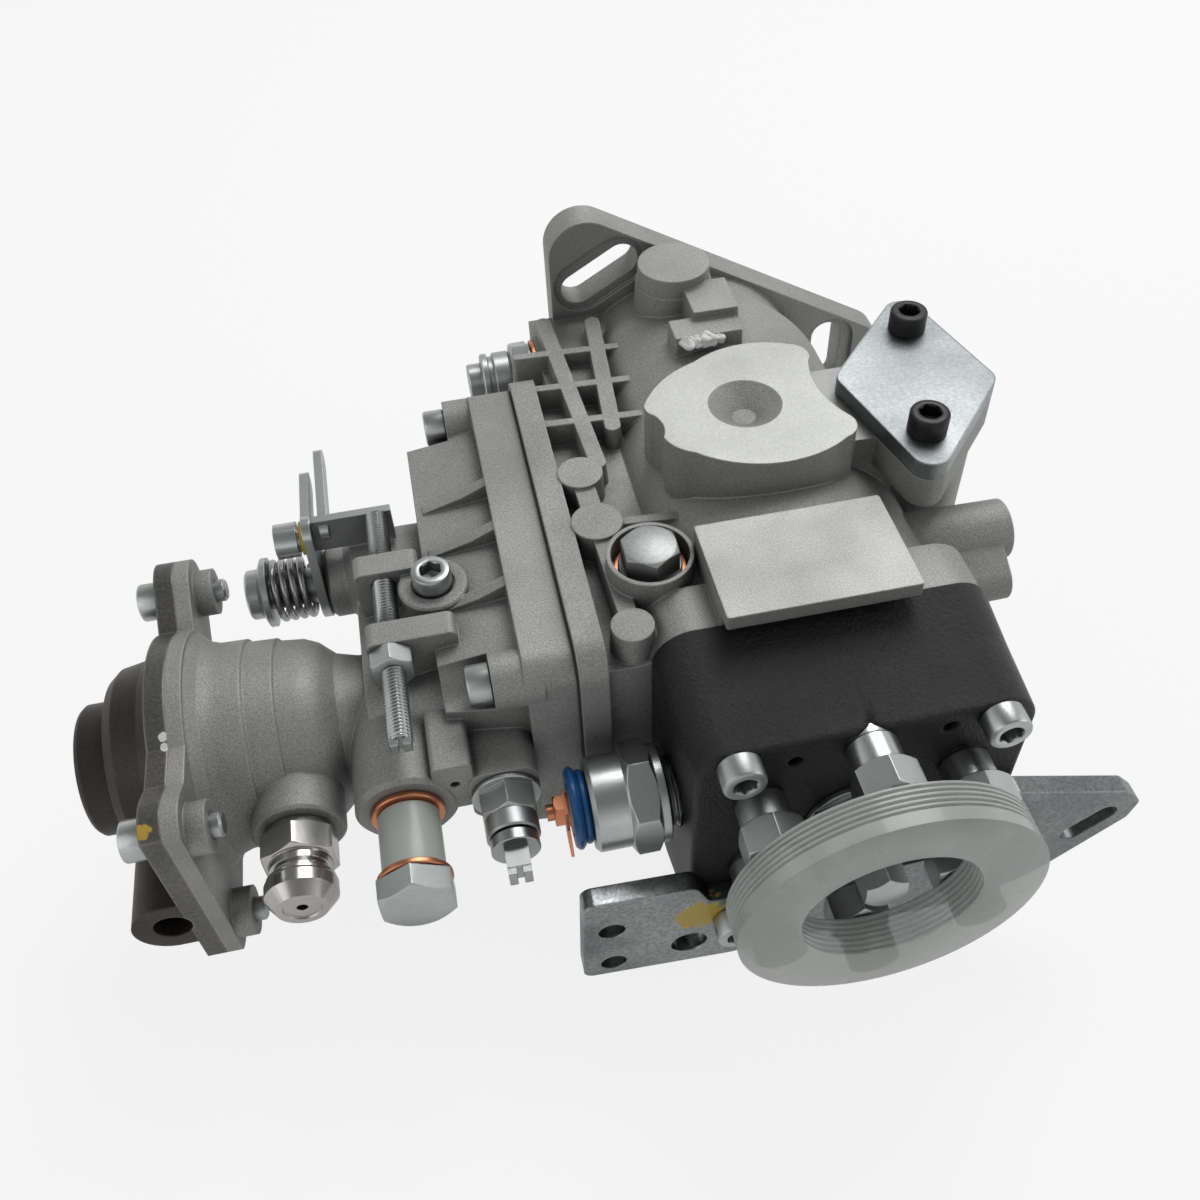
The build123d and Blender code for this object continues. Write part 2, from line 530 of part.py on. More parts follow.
# ---- boost compensator cover ----------------------------------------------------------------
with BuildPart() as boost_cover:
    with BuildSketch(Plane.YZ.offset(COMP_JOINT_X)):
        compensator_outline()
    extrude(amount=-5.0)
    # threaded port boss on the outlet side, round at its outer end
    with BuildSketch(Plane.XZ.offset(-COMP_Y + 12)):
        with Locations((PORT_X - 0.5, PORT_Z)):
            Circle(9.0)
        with Locations((PORT_X + 4.0, PORT_Z)):
            Rectangle(9.0, 18.0)
    extrude(amount=COMP_Y - 12 - COMP_FLAT_Y)
    with Locations(at(0, COMP_Y, COMP_Z, "-X")):
        add(turned((27.5, 156.5), (27.5, 161.5), (25.8, 164.0), (24.6, 170.5), (22.5, 173.0),
                   (17.0, 173.6), (17.0, 181.0), (16.2, 182.0)))
        add(turned((23.5, 150.0), (23.5, 161.5), (21.0, 170.0)), mode=Mode.SUBTRACT)
        add(turned((13.0, 165.0), (13.0, 177.0)), mode=Mode.SUBTRACT)
    with Locations(*[at(0, y, z, "-X") for y, z in comp_bolt_spots]):
        add(turned((M6_HEAD_R + 0.6, 160.5), (M6_HEAD_R + 0.6, 168.0)), mode=Mode.SUBTRACT)
        add(turned((M6_R + GAP, 155.0), (M6_R + GAP, 161.0)), mode=Mode.SUBTRACT)
    with Locations(at(PORT_X, COMP_FLAT_Y, PORT_Z, "-Y")):
        add(turned((2.0, -26.0), (2.0, -PORT_DEPTH), (PORT_R, -PORT_DEPTH), (PORT_R, 0)),
            mode=Mode.SUBTRACT)
save(boost_cover.part, "boost_cover")

# ---- fasteners ------------------------------------------------------------------------------
with BuildPart() as cover_screws:
    with Locations(*[at(BOLT_SEAT_X, y, z, "-X") for y, z in cover_bolt_spots]):
        add(socket_screw(26.0))
    with Locations(at(-89.0, -110.0, 27.0)):
        add(socket_screw(13.0))
save(cover_screws.part, "cover_screws")

with BuildPart() as boost_screws:
    with Locations(*[at(COMP_JOINT_X - 5.0, y, z, "-X") for y, z in comp_bolt_spots]):
        add(socket_screw(16.5))
save(boost_screws.part, "boost_screws")

with BuildPart() as head_screws:
    with Locations(*[at(x, HEAD_END_Y - (BRACKET_T if z < 0 else 0), z, "-Y")
                     for x, z in head_screw_spots]):
        add(socket_screw(45.0))
save(head_screws.part, "head_screws")

with BuildPart() as timing_screws:
    with Locations(*timing_screw_places):
        add(socket_screw(13.0))
save(timing_screws.part, "timing_screws")

# ---- delivery side --------------------------------------------------------------------------
with BuildPart() as delivery_valve_holders:
    with Locations(*valve_places):
        add(turned((VALVE_R, 161.0), (VALVE_R, -VALVE_HEX_Y)))
        add(hexagon(VALVE_HEX, -VALVE_HEX_Y, -CAP_BACK_Y - 0.2))
        add(turned((6.0, 190.0), (6.0, -VALVE_TIP_Y - 1), (5.0, -VALVE_TIP_Y)))
        add(turned((3.0, 160.0), (3.0, 180.0), (1.2, 181.0), (1.2, 200.0), (3.0, 206.0)),
            mode=Mode.SUBTRACT)
save(delivery_valve_holders.part, "delivery_valve_holders")

with BuildPart() as delivery_valves:
    with Locations(*valve_places):
        add(turned((2.8, 163.0), (2.8, 168.0), (2.0, 168.5), (2.0, 178.0)))
save(delivery_valves.part, "delivery_valves")

with BuildPart() as outlet_cap:
    with Locations(at(0, 0, 0, "-Y")):
        add(ring(CAP_R, CAP_HOLE, -CAP_BACK_Y, -CAP_FRONT_Y))
    with Locations(*valve_places):
        add(turned((6.0 + 0.25, 196.0), (6.0 + 0.25, -VALVE_TIP_Y + 0.4)), mode=Mode.SUBTRACT)
save(outlet_cap.part, "outlet_cap")

with BuildPart() as central_plug:
    with Locations(at(0, 0, 0, "-Y")):
        add(turned((10.0, 172.5), (10.0, -HEAD_END_Y), (12.5, -HEAD_END_Y), (12.5, 182.5)))
        add(hexagon(22.0, 182.5, 191.0))
        add(turned((6.5, 191.0), (6.5, 192.2)))
        add(hexagon(10.0, 192.0, 203.0))
save(central_plug.part, "central_plug")

with BuildPart() as distributor_barrel:
    with Locations(at(0, 0, 0, "-Y")):
        add(ring(BUSH_R, 6.0 + RUN, 130.0, 172.0))
    with Locations(at(0, SOLENOID_Y, 0, "-X")):
        add(turned((2.5, 5.0), (2.5, 13.0)), mode=Mode.SUBTRACT)
save(distributor_barrel.part, "distributor_barrel")

# bracket clamped under the lower head screws
with BuildPart() as support_bracket:
    with BuildSketch(Plane.XZ.offset(-HEAD_END_Y)):
        with BuildLine():
            Polyline((-68.5, -47.0), (-67.0, -10.5), (-39.5, -12.0), (-36.0, -20.0),
                     (-12.0, -22.0))
            ThreePointArc((-12.0, -22.0), (0.0, -15.0), (12.0, -22.0))
            Polyline((12.0, -22.0), (24.0, -20.5), (37.5, 3.0), (69.5, -7.5), (74.5, -13.0),
                     (73.0, -20.0), (55.0, -38.0), (40.0, -48.0), (-30.0, -50.0),
                     (-68.5, -47.0))
        make_face()
        fillet(vertices(), 3.0)
        with Locations((-60.5, -25.0), (-60.5, -42.0)):
            Circle(3.4, mode=Mode.SUBTRACT)
        with Locations((-40.8, -39.5)):
            Circle(4.75, mode=Mode.SUBTRACT)
        with Locations(Location((62.5, -19.5, 0), (0, 0, 42.0))):
            SlotOverall(16.0, 6.5, mode=Mode.SUBTRACT)
        with Locations(*[(x, -HEAD_SCREW) for x in (-HEAD_SCREW, HEAD_SCREW)]):
            Circle(M6_R + 0.3, mode=Mode.SUBTRACT)
        with Locations((0, -VALVE_PCR), (VALVE_PCR * -0.866, -14.0), (VALVE_PCR * 0.866, -14.0)):
            Circle(VALVE_R + 0.6, mode=Mode.SUBTRACT)
    extrude(amount=BRACKET_T)
save(support_bracket.part, "support_bracket")

# ---- unions and adjusting screws of the governor cover --------------------------------------
with BuildPart() as banjo_bolt:
    with Locations(at(BANJO_X, BANJO_Y, 0, "-Y")):
        add(turned((6.0, -17.0), (6.0, 19.5)))
        add(hexagon(17.0, 19.5, 26.0))
        add(turned((3.0, -18.0), (3.0, 12.0)), mode=Mode.SUBTRACT)
save(banjo_bolt.part, "banjo_bolt")

with BuildPart() as banjo_sleeve:
    with Locations(at(BANJO_X, BANJO_Y, 0, "-Y")):
        add(ring(7.5, 6.0 + GAP, 1.5, 18.0))
save(banjo_sleeve.part, "banjo_sleeve")

with BuildPart() as copper_washers:
    with Locations(at(BANJO_X, BANJO_Y, 0, "-Y"), at(BANJO_X, BANJO_Y - 18.0, 0, "-Y")):
        add(ring(8.9, 6.0 + GAP, 0, 1.5))
    with Locations(at(-36.2, -124.0, PLUG_SEAT_Z)):
        add(ring(9.0, 7.0 + GAP, 0, 1.5))
    with Locations(at(WALL_X, OVERFLOW_Y, OVERFLOW_Z, "-X")):
        add(ring(10.0, 6.0 + GAP, 0, 1.5))
save(copper_washers.part, "copper_washers")

with BuildPart() as side_plug:
    with Locations(at(-36.2, -124.0, PLUG_SEAT_Z)):
        add(turned((7.0, -12.0), (7.0, 1.5), (8.8, 1.5), (8.8, 2.5)))
        add(hexagon(13.0, 2.5, 9.0))
save(side_plug.part, "side_plug")

with BuildPart() as overflow_fitting:
    with Locations(at(WALL_X, OVERFLOW_Y, OVERFLOW_Z, "-X")):
        add(turned((6.0, -12.0), (6.0, 1.5), (9.0, 1.5), (9.0, 2.5)))
        add(hexagon(19.0, 2.5, 8.0))
        add(turned((8.0, 8.0), (8.0, 13.5), (7.0, 13.5), (7.0, 15.0), (8.0, 15.0), (8.0, 17.0),
                   (5.5, 17.5), (5.5, 21.5)))
        add(turned((2.5, -13.0), (2.5, 22.0)), mode=Mode.SUBTRACT)
save(overflow_fitting.part, "overflow_fitting")

with BuildPart() as boost_fitting:
    with Locations(at(BOOST_PORT_X, BOOST_PORT_Y, BOOST_PORT_Z, "-Y")):
        add(turned((5.0, -7.0), (5.0, 0.0), (8.2, 0.0), (8.2, 1.5)))
        add(hexagon(17.0, 1.5, 9.0))
        add(turned((7.6, 9.0), (7.6, 11.0), (6.6, 11.6), (6.6, 12.6), (8.2, 13.4), (8.7, 15.0),
                   (8.7, 17.6), (6.2, 20.8)))
        add(turned((1.3, -8.0), (1.3, 22.0)), mode=Mode.SUBTRACT)
save(boost_fitting.part, "boost_fitting")

with BuildPart() as adjusting_screws:
    # idle screw
    with Locations(at(IDLE_X, 0, IDLE_Z, "-Y")):
        add(turned((2.2, 79.4), (3.0, 80.6), (3.0, 156.0), (2.5, 156.8)))
        with Locations((0, 0, 156.0)):
            Box(1.0, 8.0, 3.0, mode=Mode.SUBTRACT)
    # full-load screw, squared and slotted at its end
    with Locations(at(FULL_X, 0, 0, "-Y")):
        add(turned((4.0, 118.0), (4.0, 174.0)))
        add(turned((5.9, 170.5), (5.9, 173.5)))
        add(prism(4, 5.6, 173.5, 181.0))
        with Locations((0, 0, 181.0)):
            Box(1.2, 9.0, 4.0, mode=Mode.SUBTRACT)
save(adjusting_screws.part, "adjusting_screws")

with BuildPart() as lock_nuts:
    with Locations(at(IDLE_X, -129.0, IDLE_Z, "-Y")):
        add(hexagon(10.0, 0, 5.5, bore=M6_R + GAP))
    with Locations(at(FULL_X, FULL_Y, 0, "-Y")):
        add(ring(8.5, 4.0 + GAP, 0, 1.2))
        add(hexagon(13.0, 1.2, 8.0, bore=4.0 + GAP))
        add(ring(6.5, 4.0 + GAP, 8.0, 13.0))
save(lock_nuts.part, "lock_nuts")

# ---- throttle -------------------------------------------------------------------------------
lever_x = -119.0
with BuildPart() as throttle_shaft:
    with Locations(at(0, THROTTLE_Y, THROTTLE_Z, "-X")):
        add(turned((9.0, 81.5), (9.0, 84.0), (5.0, 84.0), (5.0, -lever_x), (5.0, 134.6)))
        add(turned((5.0, 134.6), (9.8, 134.6), (9.8, 136.2), (7.0, 137.6), (7.0, 140.4),
                   (6.4, 141.0)))
        with Locations((0, -6.0, 0)):
            add(turned((2.0, 75.0), (2.0, 82.0)))
save(throttle_shaft.part, "throttle_shaft")

with BuildPart() as throttle_lever:
    # plate on the shaft with its upper prong, bent over into the stop tab and a second prong
    with BuildSketch(Plane.YZ.offset(lever_x)):
        with Locations((THROTTLE_Y, THROTTLE_Z)):
            Circle(9.5)
        with Locations((THROTTLE_Y - 1.0, 23.0)):
            Circle(4.5)
        make_hull()
        bar((-79.0, 23.5), (-58.5, 22.0), 7.0)
        with Locations((THROTTLE_Y, THROTTLE_Z)):
            Circle(5.0 + RUN, mode=Mode.SUBTRACT)
    extrude(amount=-2.4)
    with BuildSketch(Plane.XZ.offset(79.4)):
        with Locations(((lever_x - 97.5) / 2, 21.4)):
            Rectangle(-97.5 - lever_x, 10.6)
    extrude(amount=-2.4)
    with BuildSketch(Plane.YZ.offset(-114.6)):
        bar((-77.5, 22.5), (-51.0, 23.5), 6.4)
    extrude(amount=-2.4)
    with Locations(at(lever_x - 2.4, -77.0, 19.5, "-X")):
        add(turned((4.6, 0), (4.6, 1.2), (3.6, 1.4), (3.6, 2.0), (4.8, 2.0), (4.8, 8.0)))
save(throttle_lever.part, "throttle_lever")

with BuildPart() as throttle_spring:
    with Locations(at(-122.8, THROTTLE_Y, THROTTLE_Z, "-X")):
        add(coil(8.0, 2.0, 2.35, 4.0))
save(throttle_spring.part, "throttle_spring")

# ---- stop solenoid --------------------------------------------------------------------------
with BuildPart() as solenoid_body:
    with Locations(at(0, SOLENOID_Y, 0, "-X")):
        add(turned((9.0, 32.0), (9.0, 43.0), (12.0, 43.0), (12.0, 46.0)))
        add(hexagon(24.0, 46.0, 55.0))
        add(turned((11.5, 55.0), (11.5, 60.4), (10.5, 61.2), (6.0, 61.2), (6.0, 66.0)))
        add(turned((4.5, 31.0), (4.5, 60.0)), mode=Mode.SUBTRACT)
save(solenoid_body.part, "solenoid_body")

with BuildPart() as solenoid_rings:
    with Locations(at(0, SOLENOID_Y, 0, "-X")):
        add(ring(9.0, 6.0 + GAP, 61.3, 63.4))
        add(ring(10.0, 6.0 + GAP, 63.4, 65.8))
save(solenoid_rings.part, "solenoid_rings")

with BuildPart() as solenoid_terminal:
    with Locations(at(0, SOLENOID_Y, 0, "-X")):
        add(turned((4.0, 66.0), (4.0, 66.4)))
        add(hexagon(7.0, 67.2, 69.6))
        add(turned((2.0, 66.0), (2.0, 71.4)))
    with BuildSketch(Plane.YZ.offset(-66.4)):
        with BuildLine():
            Polyline((SOLENOID_Y + 3.5, 3.5), (SOLENOID_Y - 3.5, 3.5), (SOLENOID_Y - 3.5, -4.0),
                     (SOLENOID_Y - 7.5, -9.5), (SOLENOID_Y - 2.5, -9.5),
                     (SOLENOID_Y + 3.5, -4.0), (SOLENOID_Y + 3.5, 3.5))
        make_face()
    extrude(amount=-0.8)
save(solenoid_terminal.part, "solenoid_terminal")

with BuildPart() as solenoid_armature:
    with Locations(at(0, SOLENOID_Y, 0, "-X")):
        add(turned((4.0, 33.5), (4.0, 57.0)))
        add(turned((1.5, 30.0), (1.5, 33.5)))
save(solenoid_armature.part, "solenoid_armature")

# ---- timing device --------------------------------------------------------------------------
with BuildPart() as timing_covers:
    with BuildSketch(Plane.XY.offset(TIMER_END)):
        timing_outline()
    extrude(amount=TIMER_CAP)
    with Locations(at(TIMER_X, TIMER_Y, 0)):
        add(turned((TIMER_R - GAP, TIMER_END - 2), (TIMER_R - GAP, TIMER_END)))
    mirror(about=Plane.XY)
    with Locations(*timing_screw_places):
        add(turned((M6_R + GAP, -6.0), (M6_R + GAP, 1.0)), mode=Mode.SUBTRACT)
save(timing_covers.part, "timing_covers")

with BuildPart() as timing_piston:
    with Locations(at(TIMER_X, TIMER_Y, 0)):
        add(turned((TIMER_R - RUN - 1, -14.0), (TIMER_R - RUN, -13.0), (TIMER_R - RUN, 13.0),
                   (TIMER_R - RUN - 1, 14.0)))
        add(turned((8.0, -15.0), (8.0, -8.0)), mode=Mode.SUBTRACT)
    with BuildSketch(Plane.YZ.offset(TIMER_X - TIMER_R)):
        with Locations((TIMER_Y, 0)):
            SlotOverall(9.6, 8.4, rotation=90)
    extrude(amount=TIMER_R + 4.0, mode=Mode.SUBTRACT)
save(timing_piston.part, "timing_piston")

with BuildPart() as timing_spring:
    with Locations(at(TIMER_X, TIMER_Y, -TIMER_END + 3.2)):
        add(coil(6.0, 1.8, 3.2, 6))
save(timing_spring.part, "timing_spring")

# ---- drive shaft, its bearing, and the feed pump --------------------------------------------
with BuildPart() as drive_shaft:
    with Locations(at(0, 0, 0, "+Y")):
        add(turned((9.8, -70.0), (9.8, -62.0), (SHAFT_R, -61.5), (SHAFT_R, 10.0), (8.0, 30.0),
                   (7.0, 30.5), (7.0, 43.5), (6.0, 44.5)))
        for side in (-1, 1):
            with Locations((side * 7.0, 0, -73.5)):
                Box(5.0, 7.0, 9.0)
    with BuildSketch(Plane.YZ.offset(-1.6)):
        with Locations((20.0, 9.0)):
            Circle(6.1)
    extrude(amount=3.2, mode=Mode.SUBTRACT)
save(drive_shaft.part, "drive_shaft")

with BuildPart() as shaft_key:
    with BuildSketch(Plane.YZ.offset(-1.5)):
        with Locations((20.0, 9.0)):
            Circle(6.0)
        with Locations((20.0, 16.2)):
            Rectangle(14.0, 10.0, mode=Mode.SUBTRACT)
    extrude(amount=3.0)
save(shaft_key.part, "shaft_key")

turned_rings = {
    "shaft_seal": (15.0, SHAFT_R + RUN, -7.5, 0.0),
    "bearing_bush": (BUSH_R, SHAFT_R + RUN, -34.0, -8.1),
    "feed_pump_cover": (BORE_R - GAP, SHAFT_R + 0.5, -54.0, -50.2),
}
for name, sizes in turned_rings.items():
    with BuildPart() as turned_ring:
        with Locations(at(0, 0, 0, "+Y")):
            add(ring(*sizes))
    save(turned_ring.part, name)

with BuildPart() as feed_pump_ring:
    with BuildSketch(Plane.XZ.offset(34.2)):
        Circle(BORE_R - GAP)
        with Locations((1.5, 0)):
            Circle(24.0, mode=Mode.SUBTRACT)
    extrude(amount=16.0)
save(feed_pump_ring.part, "feed_pump_ring")

with BuildPart() as feed_pump_rotor:
    # slotted rotor with its four vanes
    with BuildSketch(Plane.XZ.offset(34.5)):
        Circle(20.0)
        with PolarLocations(17.0, 4):
            Rectangle(10.6, 3.0)
        Circle(SHAFT_R + GAP, mode=Mode.SUBTRACT)
    extrude(amount=15.2)
save(feed_pump_rotor.part, "feed_pump_rotor")


# ---- centrifugal governor -------------------------------------------------------------------
def gear_outline(teeth):
    """A spur gear with straight-flanked teeth, for the sketch under way."""
    pitch_r = teeth * MODULE / 2
    root_r, tip_r = pitch_r - 1.2 * MODULE, pitch_r + 0.85 * MODULE
    Circle(root_r)
    with PolarLocations(0, teeth):
        Polygon((root_r - 0.5, -1.85), (tip_r, -0.5), (tip_r, 0.5), (root_r - 0.5, 1.85),
                align=None)


with BuildPart() as governor_drive_gear:
    with BuildSketch(Plane.XZ.offset(55.5)):
        gear_outline(DRIVE_TEETH)
        Circle(SHAFT_R + GAP, mode=Mode.SUBTRACT)
    extrude(amount=6.0)
save(governor_drive_gear.part, "governor_drive_gear")

with BuildPart() as governor_shaft:
    with Locations(at(GOVERNOR_X, 0, 0, "-Y")):
        add(turned((4.0, 46.0), (4.0, 94.0)))
save(governor_shaft.part, "governor_shaft")

HINGE_R, HINGE_Y = 13.5, -65.5
with BuildPart() as flyweight_carrier:
    with BuildSketch(Plane.XZ.offset(55.5)):
        with Locations((GOVERNOR_X, 0)):
            with Locations(Location((0, 0, 0), (0, 0, 180.0 / GOVERNOR_TEETH))):
                gear_outline(GOVERNOR_TEETH)
    extrude(amount=6.0)
    with Locations(at(GOVERNOR_X, 0, 0, "-Y")):
        add(turned((16.4, 61.5), (16.4, 78.0)))
        with Locations((0, 0, 63.5)):
            Cylinder(8.6, 15.0, align=(Align.CENTER, Align.CENTER, Align.MIN), mode=Mode.SUBTRACT)
            Box(40.0, 9.8, 15.0, align=(Align.CENTER, Align.CENTER, Align.MIN),
                mode=Mode.SUBTRACT)
            Box(9.8, 40.0, 15.0, align=(Align.CENTER, Align.CENTER, Align.MIN),
                mode=Mode.SUBTRACT)
        add(turned((4.0 + RUN, 55.0), (4.0 + RUN, 64.0)), mode=Mode.SUBTRACT)
save(flyweight_carrier.part, "flyweight_carrier")

for number in range(4):
    with BuildPart() as flyweight:
        with BuildSketch(Plane.XY):
            with Locations((HINGE_R, HINGE_Y)):
                Circle(1.9)
            with BuildLine():
                Polyline((6.2, -64.8), (HINGE_R, -64.6), (HINGE_R + 1.0, -67.5), (12.6, -77.5),
                         (9.0, -77.5), (9.0, -66.5), (6.2, -66.5), (6.2, -64.8))
            make_face()
        extrude(amount=4.6, both=True)
    turn = Location((GOVERNOR_X, 0, 0)) * Location((0, 0, 0), (0, 90.0 * number, 0))
    save(turn * flyweight.part, f"flyweight_{number + 1}")

with BuildPart() as sliding_sleeve:
    with Locations(at(GOVERNOR_X, 0, 0, "-Y")):
        add(turned((7.6, 66.95), (7.6, 69.0), (6.5, 69.0), (6.5, 98.0)))
        add(turned((4.0 + RUN, 60.0), (4.0 + RUN, 99.0)), mode=Mode.SUBTRACT)
save(sliding_sleeve.part, "sliding_sleeve")

with BuildPart() as governor_lever:
    with BuildSketch(Plane.XY.offset(-4.0)):
        bar((-10.5, -118.0), (LEVER_X, LEVER_Y), 3.0)
        bar((LEVER_X, LEVER_Y), (-45.0, -103.0), 5.0)
        bar((-45.0, -103.0), (-80.0, -108.5), 4.0)
        with Locations((-48.0, -101.4)):
            Circle(3.0)
        with Locations((LEVER_X, LEVER_Y)):
            Circle(5.0)
            Circle(2.0 + RUN, mode=Mode.SUBTRACT)
    extrude(amount=8.0)
    for low in (-4.5, 1.9):
        with BuildSketch(Plane.XY.offset(low)):
            with Locations((-12.8, -118.0)):
                Rectangle(8.4, 9.0)
        extrude(amount=2.6, mode=Mode.SUBTRACT)
save(governor_lever.part, "governor_lever")

with BuildPart() as governor_spring:
    with Locations(at(-78.0, -104.0, THROTTLE_Z, "+Y")):
        add(coil(3.2, 1.2, 2.2, 7))
save(governor_spring.part, "governor_spring")

# ---- pumping element ------------------------------------------------------------------------
with BuildPart() as coupling_disc:
    with BuildSketch(Plane.XZ.offset(70.2)):
        Circle(11.0)
        with PolarLocations(9.0, 2):
            Rectangle(9.0, 7.4, mode=Mode.SUBTRACT)
        with PolarLocations(9.0, 2, start_angle=90):
            Rectangle(9.0, 7.4, mode=Mode.SUBTRACT)
    extrude(amount=7.0)
save(coupling_disc.part, "coupling_disc")

ROLLER_Y, ROLLER_R = -91.0, 5.0
roller_places = [Location((23.5 * cos(radians(a)), ROLLER_Y, 23.5 * sin(radians(a))),
                          (0, 90.0 - a, 0)) for a in range(0, 360, 60)]
with BuildPart() as roller_ring:
    with Locations(at(0, 0, 0, "-Y")):
        add(ring(BORE_R - RUN, 16.5, 80.2, 93.8))
    with Locations(at(0, TIMER_Y, 0, "+X")):
        add(turned((2.6, 28.0), (2.6, TIMER_X - 2.7), (3.8, TIMER_X - 1.0),
                   (3.8, TIMER_X + 1.0), (2.0, TIMER_X + 3.0)))
    with Locations(*roller_places):
        Cylinder(ROLLER_R + GAP, 10.4, mode=Mode.SUBTRACT)
save(roller_ring.part, "roller_ring")

with BuildPart() as rollers:
    with Locations(*roller_places):
        Cylinder(ROLLER_R, 10.0)
save(rollers.part, "rollers")

with BuildPart() as cam_plate:
    # six radial cam lobes on the face that runs on the rollers
    with Locations(at(0, 0, 0, "-Y")):
        add(turned((29.5, 98.4), (29.5, 104.0), (11.0, 105.0)))
    with Locations(*[Location((23.5 * cos(radians(a)), -101.3, 23.5 * sin(radians(a))),
                              (0, 90.0 - a, 0)) for a in range(0, 360, 60)]):
        Cylinder(5.2, 11.0)
    # hub with the two claws of the coupling
    with Locations(at(0, 0, 0, "-Y")):
        add(turned((10.5, 79.5), (10.5, 99.0)))
        for side in (-1, 1):
            with Locations((0, side * 8.5, 76.0)):
                Box(7.0, 5.0, 8.0)
        add(turned((6.0 + GAP, 96.0), (6.0 + GAP, 106.0)), mode=Mode.SUBTRACT)
save(cam_plate.part, "cam_plate")

with BuildPart() as plunger:
    with Locations(at(0, 0, 0, "-Y")):
        add(turned((6.0, 96.2), (6.0, 105.2), (9.5, 105.2), (9.5, 107.5), (6.0, 107.5),
                   (6.0, 168.0)))
        add(turned((1.5, 112.0), (1.5, 169.0)), mode=Mode.SUBTRACT)
save(plunger.part, "plunger")

with BuildPart() as control_collar:
    with Locations(at(0, 0, 0, "-Y")):
        add(ring(11.0, 6.0 + RUN, 112.0, 124.0))
    with Locations(at(0, -118.0, 0, "-X")):
        add(turned((3.3, 7.6), (3.3, 12.0)), mode=Mode.SUBTRACT)
save(control_collar.part, "control_collar")

with BuildPart() as plunger_springs:
    # two return springs under one yoke
    with Locations(*[at(0, -111.0, z, "-Y") for z in (-19.0, 19.0)]):
        add(coil(4.6, 2.0, 4.4, 6.7))
save(plunger_springs.part, "plunger_springs")

# ---- boost compensator ----------------------------------------------------------------------
with BuildPart() as boost_diaphragm:
    with Locations(at(0, COMP_Y, COMP_Z, "-X")):
        add(ring(24.0, 21.6, 154.6, 155.5))
save(boost_diaphragm.part, "boost_diaphragm")

with BuildPart() as boost_pin:
    with Locations(at(0, COMP_Y, COMP_Z, "-X")):
        add(turned((4.0, 95.0), (5.0, 96.5), (5.0, 103.0), (3.6, 112.0), (3.6, 114.0),
                   (5.0, 118.0), (5.0, 158.0), (21.3, 158.0), (21.3, 160.0), (6.0, 160.5),
                   (6.0, 166.0)))
save(boost_pin.part, "boost_pin")

with BuildPart() as boost_spring:
    with Locations(at(-157.0, COMP_Y, COMP_Z, "+X")):
        add(coil(9.0, 2.0, 3.6, 4.7))
save(boost_spring.part, "boost_spring")
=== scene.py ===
import json
import logging
from dataclasses import dataclass
from enum import Enum
from functools import cache
from math import cos, pi, radians, sin, sqrt, tan

import bmesh
import bpy
import numpy as np
from mathutils import Matrix, Vector

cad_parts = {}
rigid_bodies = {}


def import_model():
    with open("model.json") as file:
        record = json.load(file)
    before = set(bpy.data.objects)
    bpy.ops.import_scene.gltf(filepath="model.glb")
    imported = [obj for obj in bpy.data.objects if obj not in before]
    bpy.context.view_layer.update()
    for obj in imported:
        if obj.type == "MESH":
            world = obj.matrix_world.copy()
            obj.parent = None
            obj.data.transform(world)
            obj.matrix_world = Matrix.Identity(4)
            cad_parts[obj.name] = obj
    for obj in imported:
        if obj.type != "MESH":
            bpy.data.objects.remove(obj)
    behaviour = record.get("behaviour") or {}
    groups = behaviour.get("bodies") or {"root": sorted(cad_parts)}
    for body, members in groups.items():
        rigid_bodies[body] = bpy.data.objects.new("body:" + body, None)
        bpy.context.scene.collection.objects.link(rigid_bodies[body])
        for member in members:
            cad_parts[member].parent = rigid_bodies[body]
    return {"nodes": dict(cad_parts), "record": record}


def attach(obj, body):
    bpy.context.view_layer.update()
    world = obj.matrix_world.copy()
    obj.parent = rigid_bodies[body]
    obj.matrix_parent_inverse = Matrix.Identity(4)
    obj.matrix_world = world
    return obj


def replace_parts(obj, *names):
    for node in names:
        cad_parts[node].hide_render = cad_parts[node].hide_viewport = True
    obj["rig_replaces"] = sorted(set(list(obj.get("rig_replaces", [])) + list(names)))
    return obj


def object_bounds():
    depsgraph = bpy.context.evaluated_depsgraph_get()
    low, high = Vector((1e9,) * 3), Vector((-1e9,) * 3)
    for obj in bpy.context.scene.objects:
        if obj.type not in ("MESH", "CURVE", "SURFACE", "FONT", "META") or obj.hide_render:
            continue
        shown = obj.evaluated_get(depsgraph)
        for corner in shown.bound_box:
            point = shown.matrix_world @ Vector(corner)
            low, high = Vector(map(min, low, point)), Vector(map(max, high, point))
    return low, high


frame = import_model()
CAD_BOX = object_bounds()

LOG = logging.getLogger("pump")
MM = 0.001
SHARP_ANGLE = radians(32.0)
WELD_GAP = 1e-6
# Points in a turn of hexagons and rings: a multiple of twice a hexagon's or a square's corners.
FINE = 96

# Where a place's height axis and its x axis look, for each named direction.
FACINGS = {
    "-X": ((-1, 0, 0), (0, 1, 0)),
    "-Y": ((0, -1, 0), (1, 0, 0)),
    "+Z": ((0, 0, 1), (1, 0, 0)),
    "-Z": ((0, 0, -1), (1, 0, 0)),
}


# ---- geometry ---------------------------------------------------------------------------------
@dataclass(frozen=True)
class Place:
    """A point in millimetres whose own height axis looks along the named direction."""

    x: float
    y: float
    z: float
    facing: str = "+Z"

    def apply(self, points: np.ndarray) -> np.ndarray:
        """Moves points from this place's own axes into the pump's.

        Args:
            points: array of shape (n, 3), height in the last column.

        Returns:
            The same points in the pump's axes, in millimetres.
        """
        z_dir, x_dir = (np.array(v, float) for v in FACINGS[self.facing])
        basis = np.stack([x_dir, np.cross(z_dir, x_dir), z_dir])
        return points @ basis + np.array([self.x, self.y, self.z])


